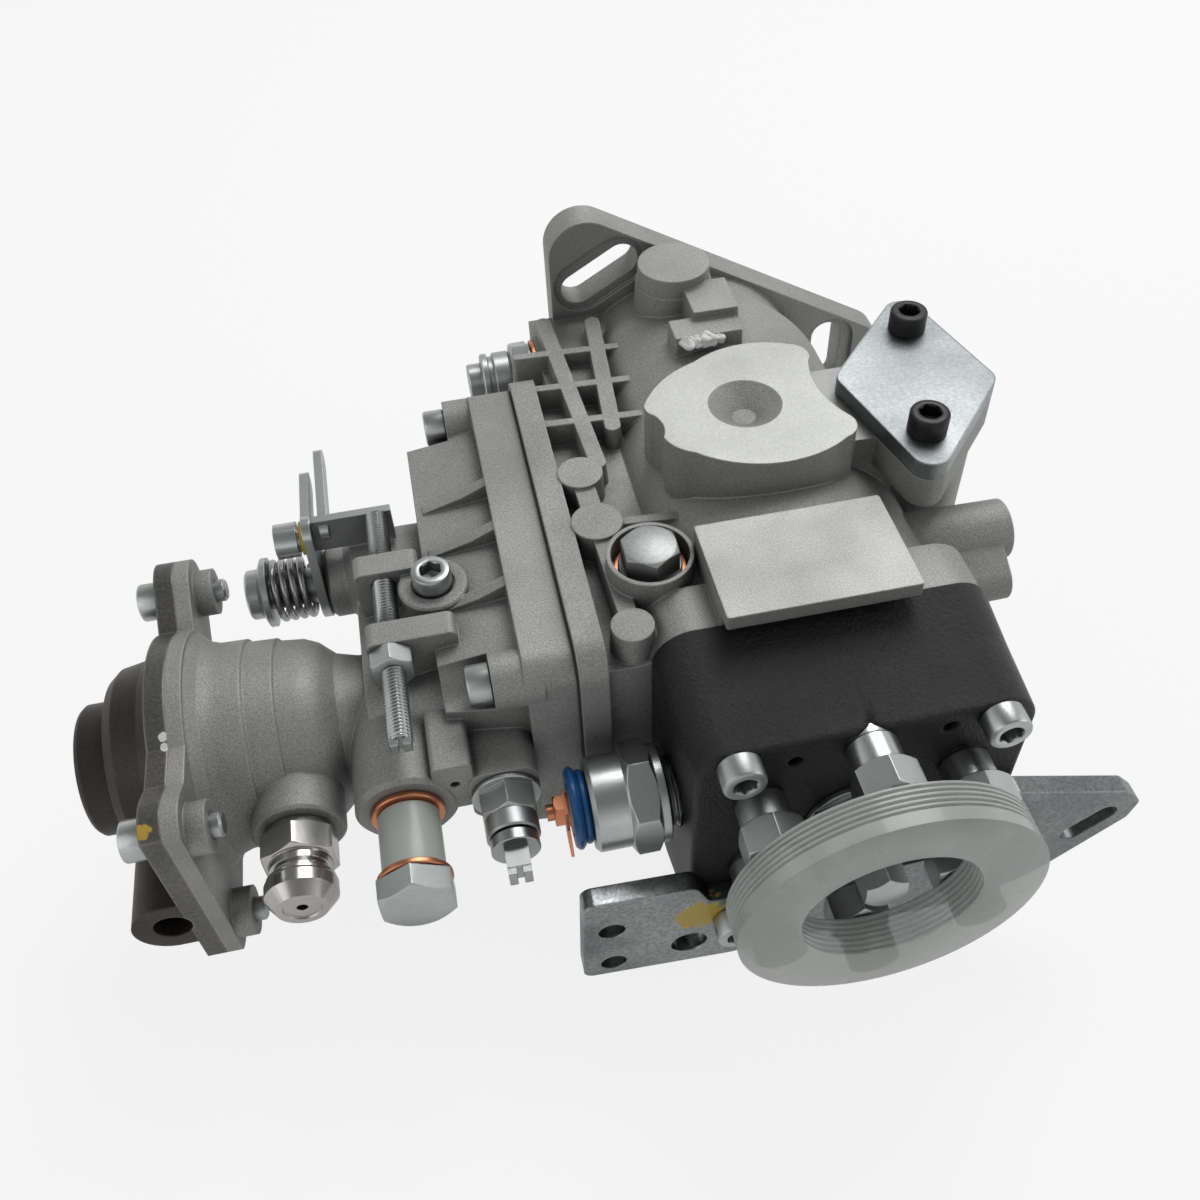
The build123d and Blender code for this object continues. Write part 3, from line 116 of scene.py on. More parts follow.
# The drive axis, seen from the flange's face towards the outlets.
OUTLET_AXIS = Place(0, 0, 0, "-Y")


def add_object(name: str, data: bpy.types.ID) -> bpy.types.Object:
    """Adds an object to the scene.

    Args:
        name: its name.
        data: its mesh, lamp or camera.

    Returns:
        The object.
    """
    made = bpy.data.objects.new(name, data)
    bpy.context.scene.collection.objects.link(made)
    return made


@dataclass
class Patch:
    """A closed surface: points in millimetres and its faces as lists of point numbers."""

    points: np.ndarray
    faces: list

    def placed(self, place: Place) -> "Patch":
        """Copies the patch to a place.

        Args:
            place: where the copy stands.

        Returns:
            The copy.
        """
        return Patch(place.apply(self.points), self.faces)

    def joined(self, *others: "Patch") -> "Patch":
        """Joins this patch and others, without welding them.

        Args:
            *others: the other patches.

        Returns:
            One patch that holds them all.
        """
        points, faces, start = [self.points], list(self.faces), len(self.points)
        for other in others:
            faces += [[corner + start for corner in face] for face in other.faces]
            points.append(other.points)
            start += len(other.points)
        return Patch(np.concatenate(points), faces)

    def to_object(self, name: str) -> bpy.types.Object:
        """Makes a smooth-shaded object with sharp edges where the surface turns.

        Args:
            name: name of the object and of its mesh.

        Returns:
            The object.
        """
        mesh = bpy.data.meshes.new(name)
        mesh.from_pydata((self.points * MM).tolist(), [], self.faces)
        mesh.validate()
        settle_mesh(mesh, SHARP_ANGLE)
        return add_object(name, mesh)


def copies(patch: Patch, places: list[Place]) -> Patch:
    """Sets copies of a patch at several places.

    Args:
        patch: what is copied.
        places: where the copies stand.

    Returns:
        One patch that holds all the copies.
    """
    first, *rest = [patch.placed(place) for place in places]
    return first.joined(*rest)


def full_turn(around: int) -> np.ndarray:
    """Divides a turn into equal steps.

    Args:
        around: how many.

    Returns:
        Their angles in radians, without the last, which is the first again.
    """
    return np.linspace(0, 2 * pi, around, endpoint=False)


def skin(rings: np.ndarray) -> Patch:
    """Joins rings of points by quads, the last point of each ring to its first, and closes
    the first and the last ring by flat faces.

    Args:
        rings: array of shape (rows, segments, 3).

    Returns:
        The skin, whose faces look outwards where the rings turn anticlockwise going up.
    """
    rows, around, _ = rings.shape
    row, step = np.meshgrid(np.arange(rows - 1), np.arange(around), indexing="ij")
    after = (step + 1) % around
    quads = np.stack([row * around + step, row * around + after,
                      (row + 1) * around + after, (row + 1) * around + step], axis=-1)
    faces = quads.reshape(-1, 4).tolist()
    faces.append(list(range(around))[::-1])
    faces.append(list(range((rows - 1) * around, rows * around)))
    return Patch(rings.reshape(-1, 3), faces)


def lathe(radius: np.ndarray, height: np.ndarray, around: int) -> Patch:
    """Skins rings about the height axis: the point at turn t is (r cos t, r sin t, h).

    Args:
        radius: radii of shape (rows, 1) or (rows, around).
        height: heights of shape (rows, 1).
        around: how many points make a turn.

    Returns:
        The closed solid.
    """
    turn = full_turn(around)
    level = np.broadcast_to(height, (len(height), around))
    return skin(np.stack([radius * np.cos(turn), radius * np.sin(turn), level], axis=-1))


def turned(profile: list[tuple[float, float]], around: int = 72) -> Patch:
    """A lathe-turned solid: a profile carried round the height axis.

    Args:
        profile: (radius, height) corners, listed from the bottom up.
        around: how many points make a turn.

    Returns:
        The closed solid.
    """
    radius, height = np.array(profile, float).T[:, :, None]
    return lathe(radius, height, around)


def closed_ring(loop: list[tuple[float, float]], around: int) -> Patch:
    """A ring: a closed profile carried round the height axis, its ends welded.

    Args:
        loop: (radius, height) corners. The last one joins the first.
        around: how many points make a turn.

    Returns:
        The closed ring.
    """
    patch, last = turned([*loop, loop[0]], around), len(loop) * around
    faces = [[corner - last if corner >= last else corner for corner in face]
             for face in patch.faces[:-2]]
    return Patch(patch.points[:last], faces)


def washer(outer: float, inner: float, low: float, high: float, edge: float = 0.15) -> Patch:
    """A flat ring with eased edges: an octagon carried round the height axis.

    Args:
        outer: outer radius.
        inner: inner radius.
        low: height of its lower face.
        high: height of its upper face.
        edge: width of the eased edges.

    Returns:
        The closed ring.
    """
    return closed_ring([(inner, low + edge), (inner + edge, low), (outer - edge, low),
                        (outer, low + edge), (outer, high - edge), (outer - edge, high),
                        (inner + edge, high), (inner, high - edge)], FINE)


def polygon_reach(corners: int, turn: np.ndarray) -> np.ndarray:
    """Distance from centre to edge of a regular polygon whose flats stand at distance 1:
    1 over the cosine of the angle from the nearest flat's middle.

    Args:
        corners: how many corners it has.
        turn: angles in radians.

    Returns:
        The distance at each angle.
    """
    sector = 2 * pi / corners
    return 1 / np.cos((turn + sector / 2) % sector - sector / 2)


def shaped(rows: list[tuple[float, float, float]], corners: int = 6) -> Patch:
    """A solid whose cross-section passes from circle to polygon and back along its height.

    Args:
        rows: (half width over flats, height, share of polygon from 0 to 1), bottom up.
        corners: how many corners the polygon has.

    Returns:
        The closed solid. Its radius at turn t is the half width times a mix of 1 and the
        polygon's reach at t.
    """
    half, height, share = (np.array(column, float)[:, None] for column in zip(*rows))
    radius = half * (1 - share + share * polygon_reach(corners, full_turn(FINE)))
    return lathe(radius, height, FINE)


def hexagon(flats: float, low: float, high: float, both: bool = False) -> Patch:
    """A hexagon head: the lesser of a hexagon's reach and a 30 degree cone at each height.

    Args:
        flats: width across the flats.
        low: height of its lower face.
        high: height of its upper face.
        both: whether the lower corners are bevelled too.

    Returns:
        The closed head.
    """
    slope, face = tan(radians(30)), flats / 2 * 0.97
    up = np.linspace(0, (flats / sqrt(3) - flats / 2) * slope * 1.15, 9)
    height = np.concatenate([low + up if both else [low], high - up[::-1]])[:, None]
    cone = face + (high - height) / slope
    if both:
        cone = np.minimum(cone, face + (height - low) / slope)
    radius = np.minimum(flats / 2 * polygon_reach(6, full_turn(FINE)), cone)
    return lathe(radius, height, FINE)


def threaded(radius: float, pitch: float, low: float, high: float,
             depth: float = 0.0) -> Patch:
    """A threaded rod: its radius falls from crest to root and back once in each pitch.

    Args:
        radius: outer radius of the thread.
        pitch: height of one turn.
        low: height of its lower end.
        high: height of its upper end.
        depth: depth of the thread, 0 for the standard 0.6 of the pitch.

    Returns:
        The closed rod, bevelled at both ends.
    """
    around, per_turn = 36, 8
    cut = depth or 0.6 * pitch
    count = max(int((high - low) / pitch * per_turn), 4)
    height = np.linspace(low, high, count)[:, None]
    phase = (height / pitch - full_turn(around) / (2 * pi)) % 1.0
    wave = np.clip(np.abs(phase * 2 - 1) * 1.3 - 0.1, 0, 1)
    end = np.minimum(height - low, high - height)
    return lathe(np.minimum(radius - cut * wave, radius - cut + end * 1.2), height, around)


def coil(radius: float, wire: float, pitch: float, turns: float) -> Patch:
    """A spring of round wire. Its centre line climbs by the pitch in each turn, slower at both
    ends, and a circle of the wire's size is carried along it.

    Args:
        radius: radius of the centre line.
        wire: diameter of the wire.
        pitch: climb in one turn.
        turns: how many turns it has.

    Returns:
        The closed spring, standing on height 0.
    """
    per_turn, dead_turn, flattest = 48, 0.35, 0.35
    t = np.linspace(0, turns, int(turns * per_turn))
    rate = np.clip(np.minimum(t, turns - t) / dead_turn, flattest, 1.0)
    climb = np.concatenate([[0], np.cumsum((rate[1:] + rate[:-1]) / 2 * np.diff(t))])
    climb *= turns / climb[-1]
    angle = 2 * pi * t
    centre = np.stack([radius * np.cos(angle), radius * np.sin(angle),
                       wire / 2 + pitch * climb], axis=-1)
    ahead = np.gradient(centre, axis=0)
    ahead /= np.linalg.norm(ahead, axis=1, keepdims=True)
    out = np.stack([np.cos(angle), np.sin(angle), np.zeros_like(angle)], axis=-1)
    side = np.cross(ahead, out)
    ring_turn = full_turn(14)
    ring = (np.cos(ring_turn)[None, :, None] * out[:, None]
            + np.sin(ring_turn)[None, :, None] * side[:, None]) * wire / 2
    return skin(centre[:, None] + ring)


def socket_screw(length: float) -> Patch:
    """An M6 cap screw: round head with a hexagon socket, over a plain shank.

    Args:
        length: length of the shank, below height 0.

    Returns:
        The closed screw.
    """
    radius, head_r, head_h, key = 3.0, 5.0, 6.0, 5.0
    floor = head_h * 0.42
    return shaped([
        (radius - 0.6, -length, 0), (radius, -length + 0.6, 0), (radius, -0.05, 0),
        (head_r - 0.3, 0.0, 0), (head_r, 0.3, 0), (head_r, head_h - 0.7, 0),
        (head_r - 0.25, head_h - 0.25, 0), (head_r - 0.8, head_h, 0),
        (key / 2 + 0.55, head_h, 0), (key / 2 + 0.3, head_h - 0.1, 0.2),
        (key / 2, head_h - 0.5, 1), (key / 2, floor, 1), (key / 2 - 0.4, floor - 0.3, 0.6),
        (0.4, floor - 0.7, 0),
    ])


# ---- shader nodes -----------------------------------------------------------------------------
@dataclass
class Wiring:
    """Short calls that add nodes to a tree and link them."""

    tree: bpy.types.NodeTree

    def link(self, value: object, target: bpy.types.NodeSocket) -> None:
        """Feeds an input.

        Args:
            value: the output that it is joined to, or a plain number or colour.
            target: the input.
        """
        if isinstance(value, bpy.types.NodeSocket):
            self.tree.links.new(value, target)
        else:
            target.default_value = (*value, 1.0) if isinstance(value, tuple) else value

    def node(self, kind: str, inputs: dict | None = None, **settings: object) -> bpy.types.Node:
        """Adds a node.

        Args:
            kind: its type.
            inputs: what feeds each of its inputs, by label or number.
            **settings: its named properties.

        Returns:
            The node.
        """
        made = self.tree.nodes.new(kind)
        for label, value in settings.items():
            setattr(made, label, value)
        for label, value in (inputs or {}).items():
            self.link(value, made.inputs[label])
        return made

    def group(self, tree: bpy.types.NodeTree, **values: float) -> bpy.types.NodeOutputs:
        """Adds a group.

        Args:
            tree: the group's own nodes.
            **values: its input values.

        Returns:
            Its outputs.
        """
        return self.node("ShaderNodeGroup", values, node_tree=tree).outputs

    def where(self) -> bpy.types.NodeSocket:
        """Adds the place on the piece.

        Returns:
            The place in the piece's own axes.
        """
        return self.node("ShaderNodeTexCoord").outputs["Object"]

    def ramp(self, source: bpy.types.NodeSocket, low: float, high: float, first: float = 0.0,
             last: float = 1.0) -> bpy.types.NodeSocket:
        """Maps a span of values onto another, and holds it there.

        Args:
            source: the value.
            low: value that gives the first result.
            high: value that gives the last result.
            first: the first result.
            last: the last result.

        Returns:
            The result.
        """
        return self.node("ShaderNodeMapRange", {
            "Value": source, "From Min": low, "From Max": high, "To Min": first,
            "To Max": last}).outputs["Result"]

    def times_plus(self, source: bpy.types.NodeSocket, factor: float, plus: object,
                   clamp: bool = False) -> bpy.types.NodeSocket:
        """Multiplies a value and adds to it.

        Args:
            source: the value.
            factor: what it is multiplied by.
            plus: the number or output that is added.
            clamp: whether the result is held between 0 and 1.

        Returns:
            The result.
        """
        return self.node("ShaderNodeMath", {0: source, 1: factor, 2: plus},
                         operation="MULTIPLY_ADD", use_clamp=clamp).outputs[0]

    def mix(self, mask: bpy.types.NodeSocket, first: object, second: object,
            share: float = 1.0) -> bpy.types.NodeSocket:
        """Mixes two colours.

        Args:
            mask: 0 where the first shows, 1 where the second does.
            first: the first colour, or the output that gives it.
            second: the second one.
            share: what the mask is multiplied by.

        Returns:
            The mixed colour.
        """
        scale = self.node("ShaderNodeMath", {0: mask, 1: share}, operation="MULTIPLY",
                          use_clamp=True)
        return self.node("ShaderNodeMix", {0: scale.outputs[0], 6: first, 7: second},
                         data_type="RGBA").outputs[2]


class Groups:
    """The shader groups that several finishes share, each built once."""

    @staticmethod
    def start(name: str, inputs: dict[str, float], outputs: dict[str, str],
              ) -> tuple[Wiring, bpy.types.NodeOutputs, bpy.types.NodeInputs]:
        """Starts a shader group.

        Args:
            name: its name.
            inputs: the usual value of each number that goes in.
            outputs: the kind, Float or Vector, of each socket that comes out.

        Returns:
            Calls that add to it, the sockets of what goes in, and of what comes out.
        """
        tree = bpy.data.node_groups.new(name, "ShaderNodeTree")
        for label, value in inputs.items():
            socket = tree.interface.new_socket(label, in_out="INPUT",
                                               socket_type="NodeSocketFloat")
            socket.default_value = value
        for label, kind in outputs.items():
            tree.interface.new_socket(label, in_out="OUTPUT", socket_type=f"NodeSocket{kind}")
        wire = Wiring(tree)
        return wire, wire.node("NodeGroupInput").outputs, wire.node("NodeGroupOutput").inputs

    @staticmethod
    @cache
    def soft_edges() -> bpy.types.NodeTree:
        """Rounded normals at edges, and a mask that is 1 on them.

        Returns:
            The group.
        """
        wire, given, put = Groups.start("soft_edges", {"Radius": MM},
                                        {"Normal": "Vector", "Edge": "Float"})
        rounded = wire.node("ShaderNodeBevel", {"Radius": given["Radius"]},
                            samples=6).outputs["Normal"]
        plain = wire.node("ShaderNodeNewGeometry").outputs["Normal"]
        dot = wire.node("ShaderNodeVectorMath", {0: rounded, 1: plain}, operation="DOT_PRODUCT")
        wire.link(rounded, put["Normal"])
        wire.link(wire.ramp(dot.outputs["Value"], 0.995, 0.9), put["Edge"])
        return wire.tree

    @staticmethod
    @cache
    def corners() -> bpy.types.NodeTree:
        """A mask of painted shade that is 1 deep in the corners between surfaces, where little
        light falls.

        Returns:
            The group.
        """
        wire, given, put = Groups.start("corners", {"Reach": 6 * MM}, {"Mask": "Float"})
        shut = wire.node("ShaderNodeAmbientOcclusion", {"Distance": given["Reach"]}, samples=6)
        wire.link(wire.ramp(shut.outputs["AO"], 0.95, 0.25), put["Mask"])
        return wire.tree

    @staticmethod
    @cache
    def grain() -> bpy.types.NodeTree:
        """The fine grain of a casting: a height, and masks of bright specks that are partly
        painted glints, and of dark pits.

        Returns:
            The group.
        """
        wire, given, put = Groups.start("grain", {"Scale": 1800.0}, {
            "Height": "Float", "SpeckGlint": "Float", "Pit": "Float"})
        place = {"Vector": wire.where(), "Scale": given["Scale"]}
        noise = wire.node("ShaderNodeTexNoise", {**place, "Detail": 4.0, "Roughness": 0.62})
        cells = wire.node("ShaderNodeTexVoronoi", place)
        wire.link(noise.outputs["Fac"], put["Height"])
        wire.link(wire.ramp(cells.outputs["Distance"], 0.28, 0.08), put["SpeckGlint"])
        wire.link(wire.ramp(noise.outputs["Fac"], 0.62, 0.38), put["Pit"])
        return wire.tree

    @staticmethod
    @cache
    def smudge() -> bpy.types.NodeTree:
        """Broad, soft patches, as handling and casting skin leave them.

        Returns:
            The group.
        """
        wire, given, put = Groups.start("smudge", {"Scale": 40.0}, {"Mask": "Float"})
        noise = wire.node("ShaderNodeTexNoise", {
            "Vector": wire.where(), "Scale": given["Scale"], "Detail": 5.0})
        wire.link(wire.ramp(noise.outputs["Fac"], 0.35, 0.65), put["Mask"])
        return wire.tree

    @staticmethod
    @cache
    def spot() -> bpy.types.NodeTree:
        """A ragged round dab of paint: 1 inside its radius, 0 outside, torn by noise.

        Returns:
            The group.
        """
        wire, given, put = Groups.start(
            "spot", {"X": 0.0, "Y": 0.0, "Z": 0.0, "Radius": MM}, {"Mask": "Float"})
        centre = wire.node("ShaderNodeCombineXYZ", {axis: given[axis] for axis in "XYZ"})
        where = wire.where()
        far = wire.node("ShaderNodeVectorMath", {0: where, 1: centre.outputs[0]},
                        operation="DISTANCE")
        noise = wire.node("ShaderNodeTexNoise", {
            "Vector": where, "Scale": 420.0, "Detail": 3.0})
        share = wire.node("ShaderNodeMath", {0: far.outputs["Value"], 1: given["Radius"]},
                          operation="DIVIDE")
        torn = wire.times_plus(noise.outputs["Fac"], 1.4, share.outputs[0])
        wire.link(wire.ramp(torn, 1.62, 1.5), put["Mask"])
        return wire.tree


# ---- finishes ---------------------------------------------------------------------------------
Colour = tuple[float, float, float]

SMUDGE_SCALE = 45.0
# How much of its shade's brightness a finish keeps in pits, and in the painted shade of its
# corners.
PIT_SHARE, CORNER_SHADE_SHARE = 0.25, 0.2


@dataclass(frozen=True)
class Finish:
    """A surface finish made of a base, smudges, grain, specks that are partly painted glints,
    eased edges that are partly a painted highlight, and painted corner shade.

    Attributes:
        name: material's name.
        base: main colour.
        shade: colour of the broad smudges.
        metallic: 1 for bare metal, 0 for paint, rubber and plastic.
        rough: lowest and highest roughness.
        edge: radius of the eased edges in millimetres.
        grain: size of the grain, as a noise scale per metre.
        depth: height of the grain in millimetres.
        speck_and_glint: how strongly bright specks show: the grain's own flecks, and painted
            glints.
        bright: colour of specks and edges: flecks and worn metal, and painted glints and
            highlight.
        wear_and_highlight: how strongly edges show the bright colour, as wear and as a painted
            highlight.
        coat: weight of a clear coat.
        pits: how strongly the dark pits of the grain show.
        corner_shade: how strongly the painted shade darkens corners.
        solid: share of the light that the surface stops, 1 for all of it.
        gloss: level of the reflection of a surface that isn't metal.
        marks: dabs of paint as (x, y, z, radius in millimetres, colour).
    """

    name: str
    base: Colour
    shade: Colour
    metallic: float = 1.0
    rough: tuple[float, float] = (0.3, 0.4)
    edge: float = 0.3
    grain: float = 1800.0
    depth: float = 0.0
    speck_and_glint: float = 0.0
    bright: Colour = (0.8, 0.8, 0.8)
    wear_and_highlight: float = 0.0
    coat: float = 0.0
    pits: float = 0.0
    corner_shade: float = 0.0
    solid: float = 1.0
    gloss: float = 0.5
    marks: tuple = ()

    def material(self) -> bpy.types.Material:
        """Finds the finish's material, or builds it the first time.

        Returns:
            The material.
        """
        label = f"{self.name}_finish"
        found = bpy.data.materials.get(label)
        if found:
            return found
        made = bpy.data.materials.new(label)
        made.use_nodes = True
        wire = Wiring(made.node_tree)
        shader = made.node_tree.nodes["Principled BSDF"]
        smudge = wire.group(Groups.smudge(), Scale=SMUDGE_SCALE)["Mask"]
        grain = wire.group(Groups.grain(), Scale=self.grain)
        edges = wire.group(Groups.soft_edges(), Radius=self.edge * MM)
        colour = wire.mix(smudge, self.base, self.shade)
        if self.pits:
            deep = tuple(PIT_SHARE * part for part in self.shade)
            colour = wire.mix(grain["Pit"], colour, deep, self.pits)
        # Painted shade: corners are darkened where ambient occlusion finds little light.
        if self.corner_shade:
            dark = tuple(CORNER_SHADE_SHARE * part for part in self.shade)
            corners = wire.group(Groups.corners(), Reach=6 * MM)
            colour = wire.mix(corners["Mask"], colour, dark, self.corner_shade)
        # Bright specks: partly the grain's own flecks, partly painted glints.
        if self.speck_and_glint:
            colour = wire.mix(grain["SpeckGlint"], colour, self.bright, self.speck_and_glint)
        # Lighter edges: partly worn metal, partly a painted highlight.
        if self.wear_and_highlight:
            colour = wire.mix(edges["Edge"], colour, self.bright, self.wear_and_highlight)
        metal = self.metallic
        for x, y, z, radius, paint in self.marks:
            spot = wire.group(Groups.spot(), X=x * MM, Y=y * MM, Z=z * MM,
                              Radius=radius * MM)["Mask"]
            colour = wire.mix(spot, colour, paint)
            metal = wire.times_plus(spot, -1.0, metal, clamp=True)
        normal = edges["Normal"]
        if self.depth:
            normal = wire.node("ShaderNodeBump", {
                "Distance": self.depth * MM, "Height": grain["Height"], "Normal": normal,
            }).outputs["Normal"]
        for label, value in (("Base Color", colour), ("Metallic", metal),
                             ("Roughness", wire.ramp(smudge, 0.0, 1.0, *self.rough)),
                             ("Coat Weight", self.coat), ("Alpha", self.solid),
                             ("Specular IOR Level", self.gloss), ("Normal", normal)):
            wire.link(value, shader.inputs[label])
        return made


class Surface(Enum):
    """The finishes that the pump's pieces are given."""

    CASTING = Finish("cast_aluminium", (0.42, 0.425, 0.41), (0.36, 0.365, 0.35), 0.45,
                     (0.5, 0.6), 0.7, 2300.0, 0.12, 0.4, (0.80, 0.81, 0.79), 0.2,
                     pits=0.42, corner_shade=0.75)
    MACHINED = Finish("machined_aluminium", (0.55, 0.56, 0.54), (0.50, 0.51, 0.49), 0.4,
                      (0.42, 0.52), 0.3, 2500.0, 0.04, 0.2, (0.8, 0.8, 0.8), pits=0.25,
                      corner_shade=0.4)
    SMOOTH_CASTING = Finish("smooth_casting", (0.40, 0.405, 0.39), (0.35, 0.355, 0.34), 0.6,
                            (0.42, 0.5), 0.4, 2600.0, 0.06, 0.35, (0.72, 0.73, 0.71), 0.25,
                            pits=0.4, corner_shade=0.5)
    DARK_CASTING = Finish("dark_cast", (0.09, 0.086, 0.08), (0.07, 0.066, 0.06), 0.7,
                          (0.38, 0.5), 1.0, 1300.0, 0.12, 0.1, (0.3, 0.28, 0.26), 0.1)
    DOME_CASTING = Finish("dome_casting", (0.050, 0.044, 0.038), (0.036, 0.032, 0.028), 0.5,
                          (0.40, 0.52), 0.8, 1300.0, 0.08, 0.08, (0.3, 0.28, 0.26), 0.12,
                          pits=0.3)
    FLANGE_CASTING = Finish("flange_casting", (0.17, 0.165, 0.155), (0.12, 0.117, 0.11), 0.7,
                            (0.36, 0.5), 0.9, 1300.0, 0.08, 0.12, (0.6, 0.58, 0.56), 0.3,
                            pits=0.4, corner_shade=0.6,
                            marks=((-159.6, -163.5, 21.0, 2.6, (0.55, 0.36, 0.05)),
                                   (-156.4, -138.2, 21.6, 1.2, (0.8, 0.8, 0.78)),
                                   (-156.2, -140.4, 20.4, 1.0, (0.8, 0.8, 0.78))))
    BLACK_CASTING = Finish("black_cast", (0.010, 0.0095, 0.009), (0.007, 0.0068, 0.0065), 0.0,
                           (0.30, 0.40), 1.2, 1150.0, 0.5, 0.10, (0.10, 0.10, 0.10), 0.06,
                           gloss=0.36)
    COVER_ZINC = Finish("cover_zinc", (0.36, 0.385, 0.385), (0.26, 0.28, 0.28), 1.0,
                        (0.34, 0.46), 0.8, 900.0, 0.02, 0.2, (0.55, 0.57, 0.57), 0.3,
                        pits=0.25)
    BRACKET = Finish("bracket_zinc", (0.36, 0.385, 0.385), (0.22, 0.24, 0.24), 1.0,
                     (0.26, 0.42), 0.8, 1100.0, 0.02, 0.2, (0.6, 0.6, 0.6), 0.2, pits=0.45,
                     marks=((-38.3, -186.0, -25.7, 7.0, (0.60, 0.42, 0.02)),))
    ZINC = Finish("zinc_plate", (0.56, 0.58, 0.575), (0.42, 0.445, 0.44), 1.0, (0.30, 0.42),
                  0.25, 2200.0, 0.02, 0.1, (0.7, 0.72, 0.72), 0.15, pits=0.12, corner_shade=0.5)
    SATIN_ZINC = Finish("satin_zinc", (0.42, 0.435, 0.43), (0.34, 0.355, 0.35), 1.0,
                        (0.5, 0.6), 0.3, 1500.0, 0.03, 0.1, (0.6, 0.62, 0.62), 0.3, pits=0.2,
                        corner_shade=0.5)
    THREAD = Finish("zinc_thread", (0.46, 0.475, 0.475), (0.34, 0.355, 0.355), 1.0,
                    (0.2, 0.3), 0.05, 2200.0, 0.01)
    STAINLESS = Finish("stainless", (0.50, 0.49, 0.47), (0.44, 0.43, 0.41), 1.0, (0.18, 0.26),
                       0.2, 3000.0, 0.006)
    BLACK_OXIDE = Finish("black_oxide", (0.010, 0.010, 0.012), (0.018, 0.018, 0.02), 0.4,
                         (0.3, 0.42), 0.25, 2500.0, 0.01, 0.05, (0.2, 0.2, 0.2), 0.1)
    GROUND = Finish("ground_steel", (0.58, 0.58, 0.58), (0.5, 0.5, 0.5), 1.0, (0.2, 0.3),
                    0.2, 3000.0, 0.006)
    SPRING = Finish("spring_wire", (0.42, 0.42, 0.43), (0.33, 0.33, 0.34), 1.0, (0.18, 0.28),
                    0.1, 3000.0, 0.005)
    COPPER = Finish("copper", (0.66, 0.28, 0.15), (0.50, 0.20, 0.11), 1.0, (0.28, 0.42), 0.15,
                    2500.0, 0.01)
    BRONZE = Finish("bronze", (0.62, 0.42, 0.18), (0.5, 0.33, 0.14), 1.0, (0.25, 0.38), 0.2,
                    2500.0, 0.01)
    WHITE_PLASTIC = Finish("white_plastic", (0.46, 0.49, 0.46), (0.40, 0.43, 0.41), 0.0,
                           (0.34, 0.44), 0.3, 2000.0, 0.01, coat=0.1)
    CLEAR = Finish("clear_plastic", (0.62, 0.65, 0.62), (0.56, 0.59, 0.56), 0.0, (0.24, 0.34),
                   0.12, 800.0, 0.02, coat=0.3, solid=0.7)
    BLUE_RUBBER = Finish("blue_rubber", (0.005, 0.10, 0.30), (0.004, 0.08, 0.25), 0.0,
                         (0.3, 0.42), 0.5, 2000.0, 0.01, coat=0.1)
    BLACK_RUBBER = Finish("black_rubber", (0.012, 0.012, 0.012), (0.018, 0.018, 0.018), 0.0,
                          (0.45, 0.6), 0.3, 2000.0, 0.02)
    SEALANT = Finish("sealant", (0.86, 0.86, 0.85), (0.8, 0.8, 0.79), 0.0, (0.3, 0.45), 0.3,
                     900.0, 0.05)
    YELLOW_PAINT = Finish("yellow_paint", (0.62, 0.45, 0.04), (0.5, 0.36, 0.04), 0.0,
                          (0.35, 0.5), 0.2, 1500.0, 0.02)
    FIBRE = Finish("gasket_fibre", (0.05, 0.048, 0.045), (0.035, 0.033, 0.03), 0.0,
                   (0.7, 0.85), 0.1, 2500.0, 0.03)

    def on(self, piece: bpy.types.Object) -> None:
        """Gives this finish to a piece, in place of whatever it wore.

        Args:
            piece: the piece.
        """
        piece.data.materials.clear()
        piece.data.materials.append(self.value.material())


# ---- assemblies -------------------------------------------------------------------------------
@dataclass
class Assembly:
    """A sub-assembly that rides on one body and dresses its nodes.

    Attributes:
        body: the body that it rides on.
    """

    body: str = "housing"

    def smooth(self, node: str, surface: Surface, angle: float = 18.0) -> bpy.types.Object:
        """Stands a welded, smooth-shaded copy in for a node, so that its rounds look round.

        Args:
            node: name of the CAD node.
            surface: its finish.
            angle: edges that turn by more than this many degrees stay sharp.

        Returns:
            The copy.
        """
        mesh = frame["nodes"][node].data.copy()
        mesh.name = f"{node}_skin"
        made = add_object(mesh.name, mesh)
        settle_mesh(mesh, radians(angle), weld=True)
        settle_normals(made)
        self.stand_in(made, surface, node)
        return made

    def stand_in(self, piece: bpy.types.Object, surface: Surface, *nodes: str) -> None:
        """Dresses a piece, lets it ride on the body and shows it in place of the nodes.

        Args:
            piece: the piece.
            surface: its finish.
            *nodes: names of the CAD nodes that it shows, none for a piece of its own.
        """
        surface.on(piece)
        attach(piece, self.body)
        if nodes:
            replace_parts(piece, *nodes)
        LOG.info("%s: %d faces", piece.name, len(piece.data.polygons))

    def piece(self, name: str, patch: Patch, surface: Surface, *nodes: str) -> None:
        """Makes a piece from a patch and stands it in for the nodes.

        Args:
            name: its name.
            patch: its surface, in millimetres.
            surface: its finish.
            *nodes: names of the CAD nodes that it shows.
        """
        self.stand_in(patch.to_object(name), surface, *nodes)


def settle_mesh(mesh: bpy.types.Mesh, angle: float, weld: bool = False) -> None:
    """Shades a mesh smoothly, but for the edges that turn by more than an angle.

    Args:
        mesh: the mesh.
        angle: the sharpest smooth turn, in radians.
        weld: whether loose triangles are joined first wherever their corners meet.
    """
    shape = bmesh.new()
    shape.from_mesh(mesh)
    if weld:
        bmesh.ops.remove_doubles(shape, verts=shape.verts, dist=WELD_GAP)
        bmesh.ops.dissolve_degenerate(shape, edges=shape.edges, dist=WELD_GAP)
    shape.normal_update()
    for edge in shape.edges:
        edge.smooth = edge.calc_face_angle(0.0) <= angle
    for face in shape.faces:
        face.smooth = True
    shape.to_mesh(mesh)
    shape.free()
    stale = mesh.attributes.get("custom_normal")
    if stale:
        mesh.attributes.remove(stale)


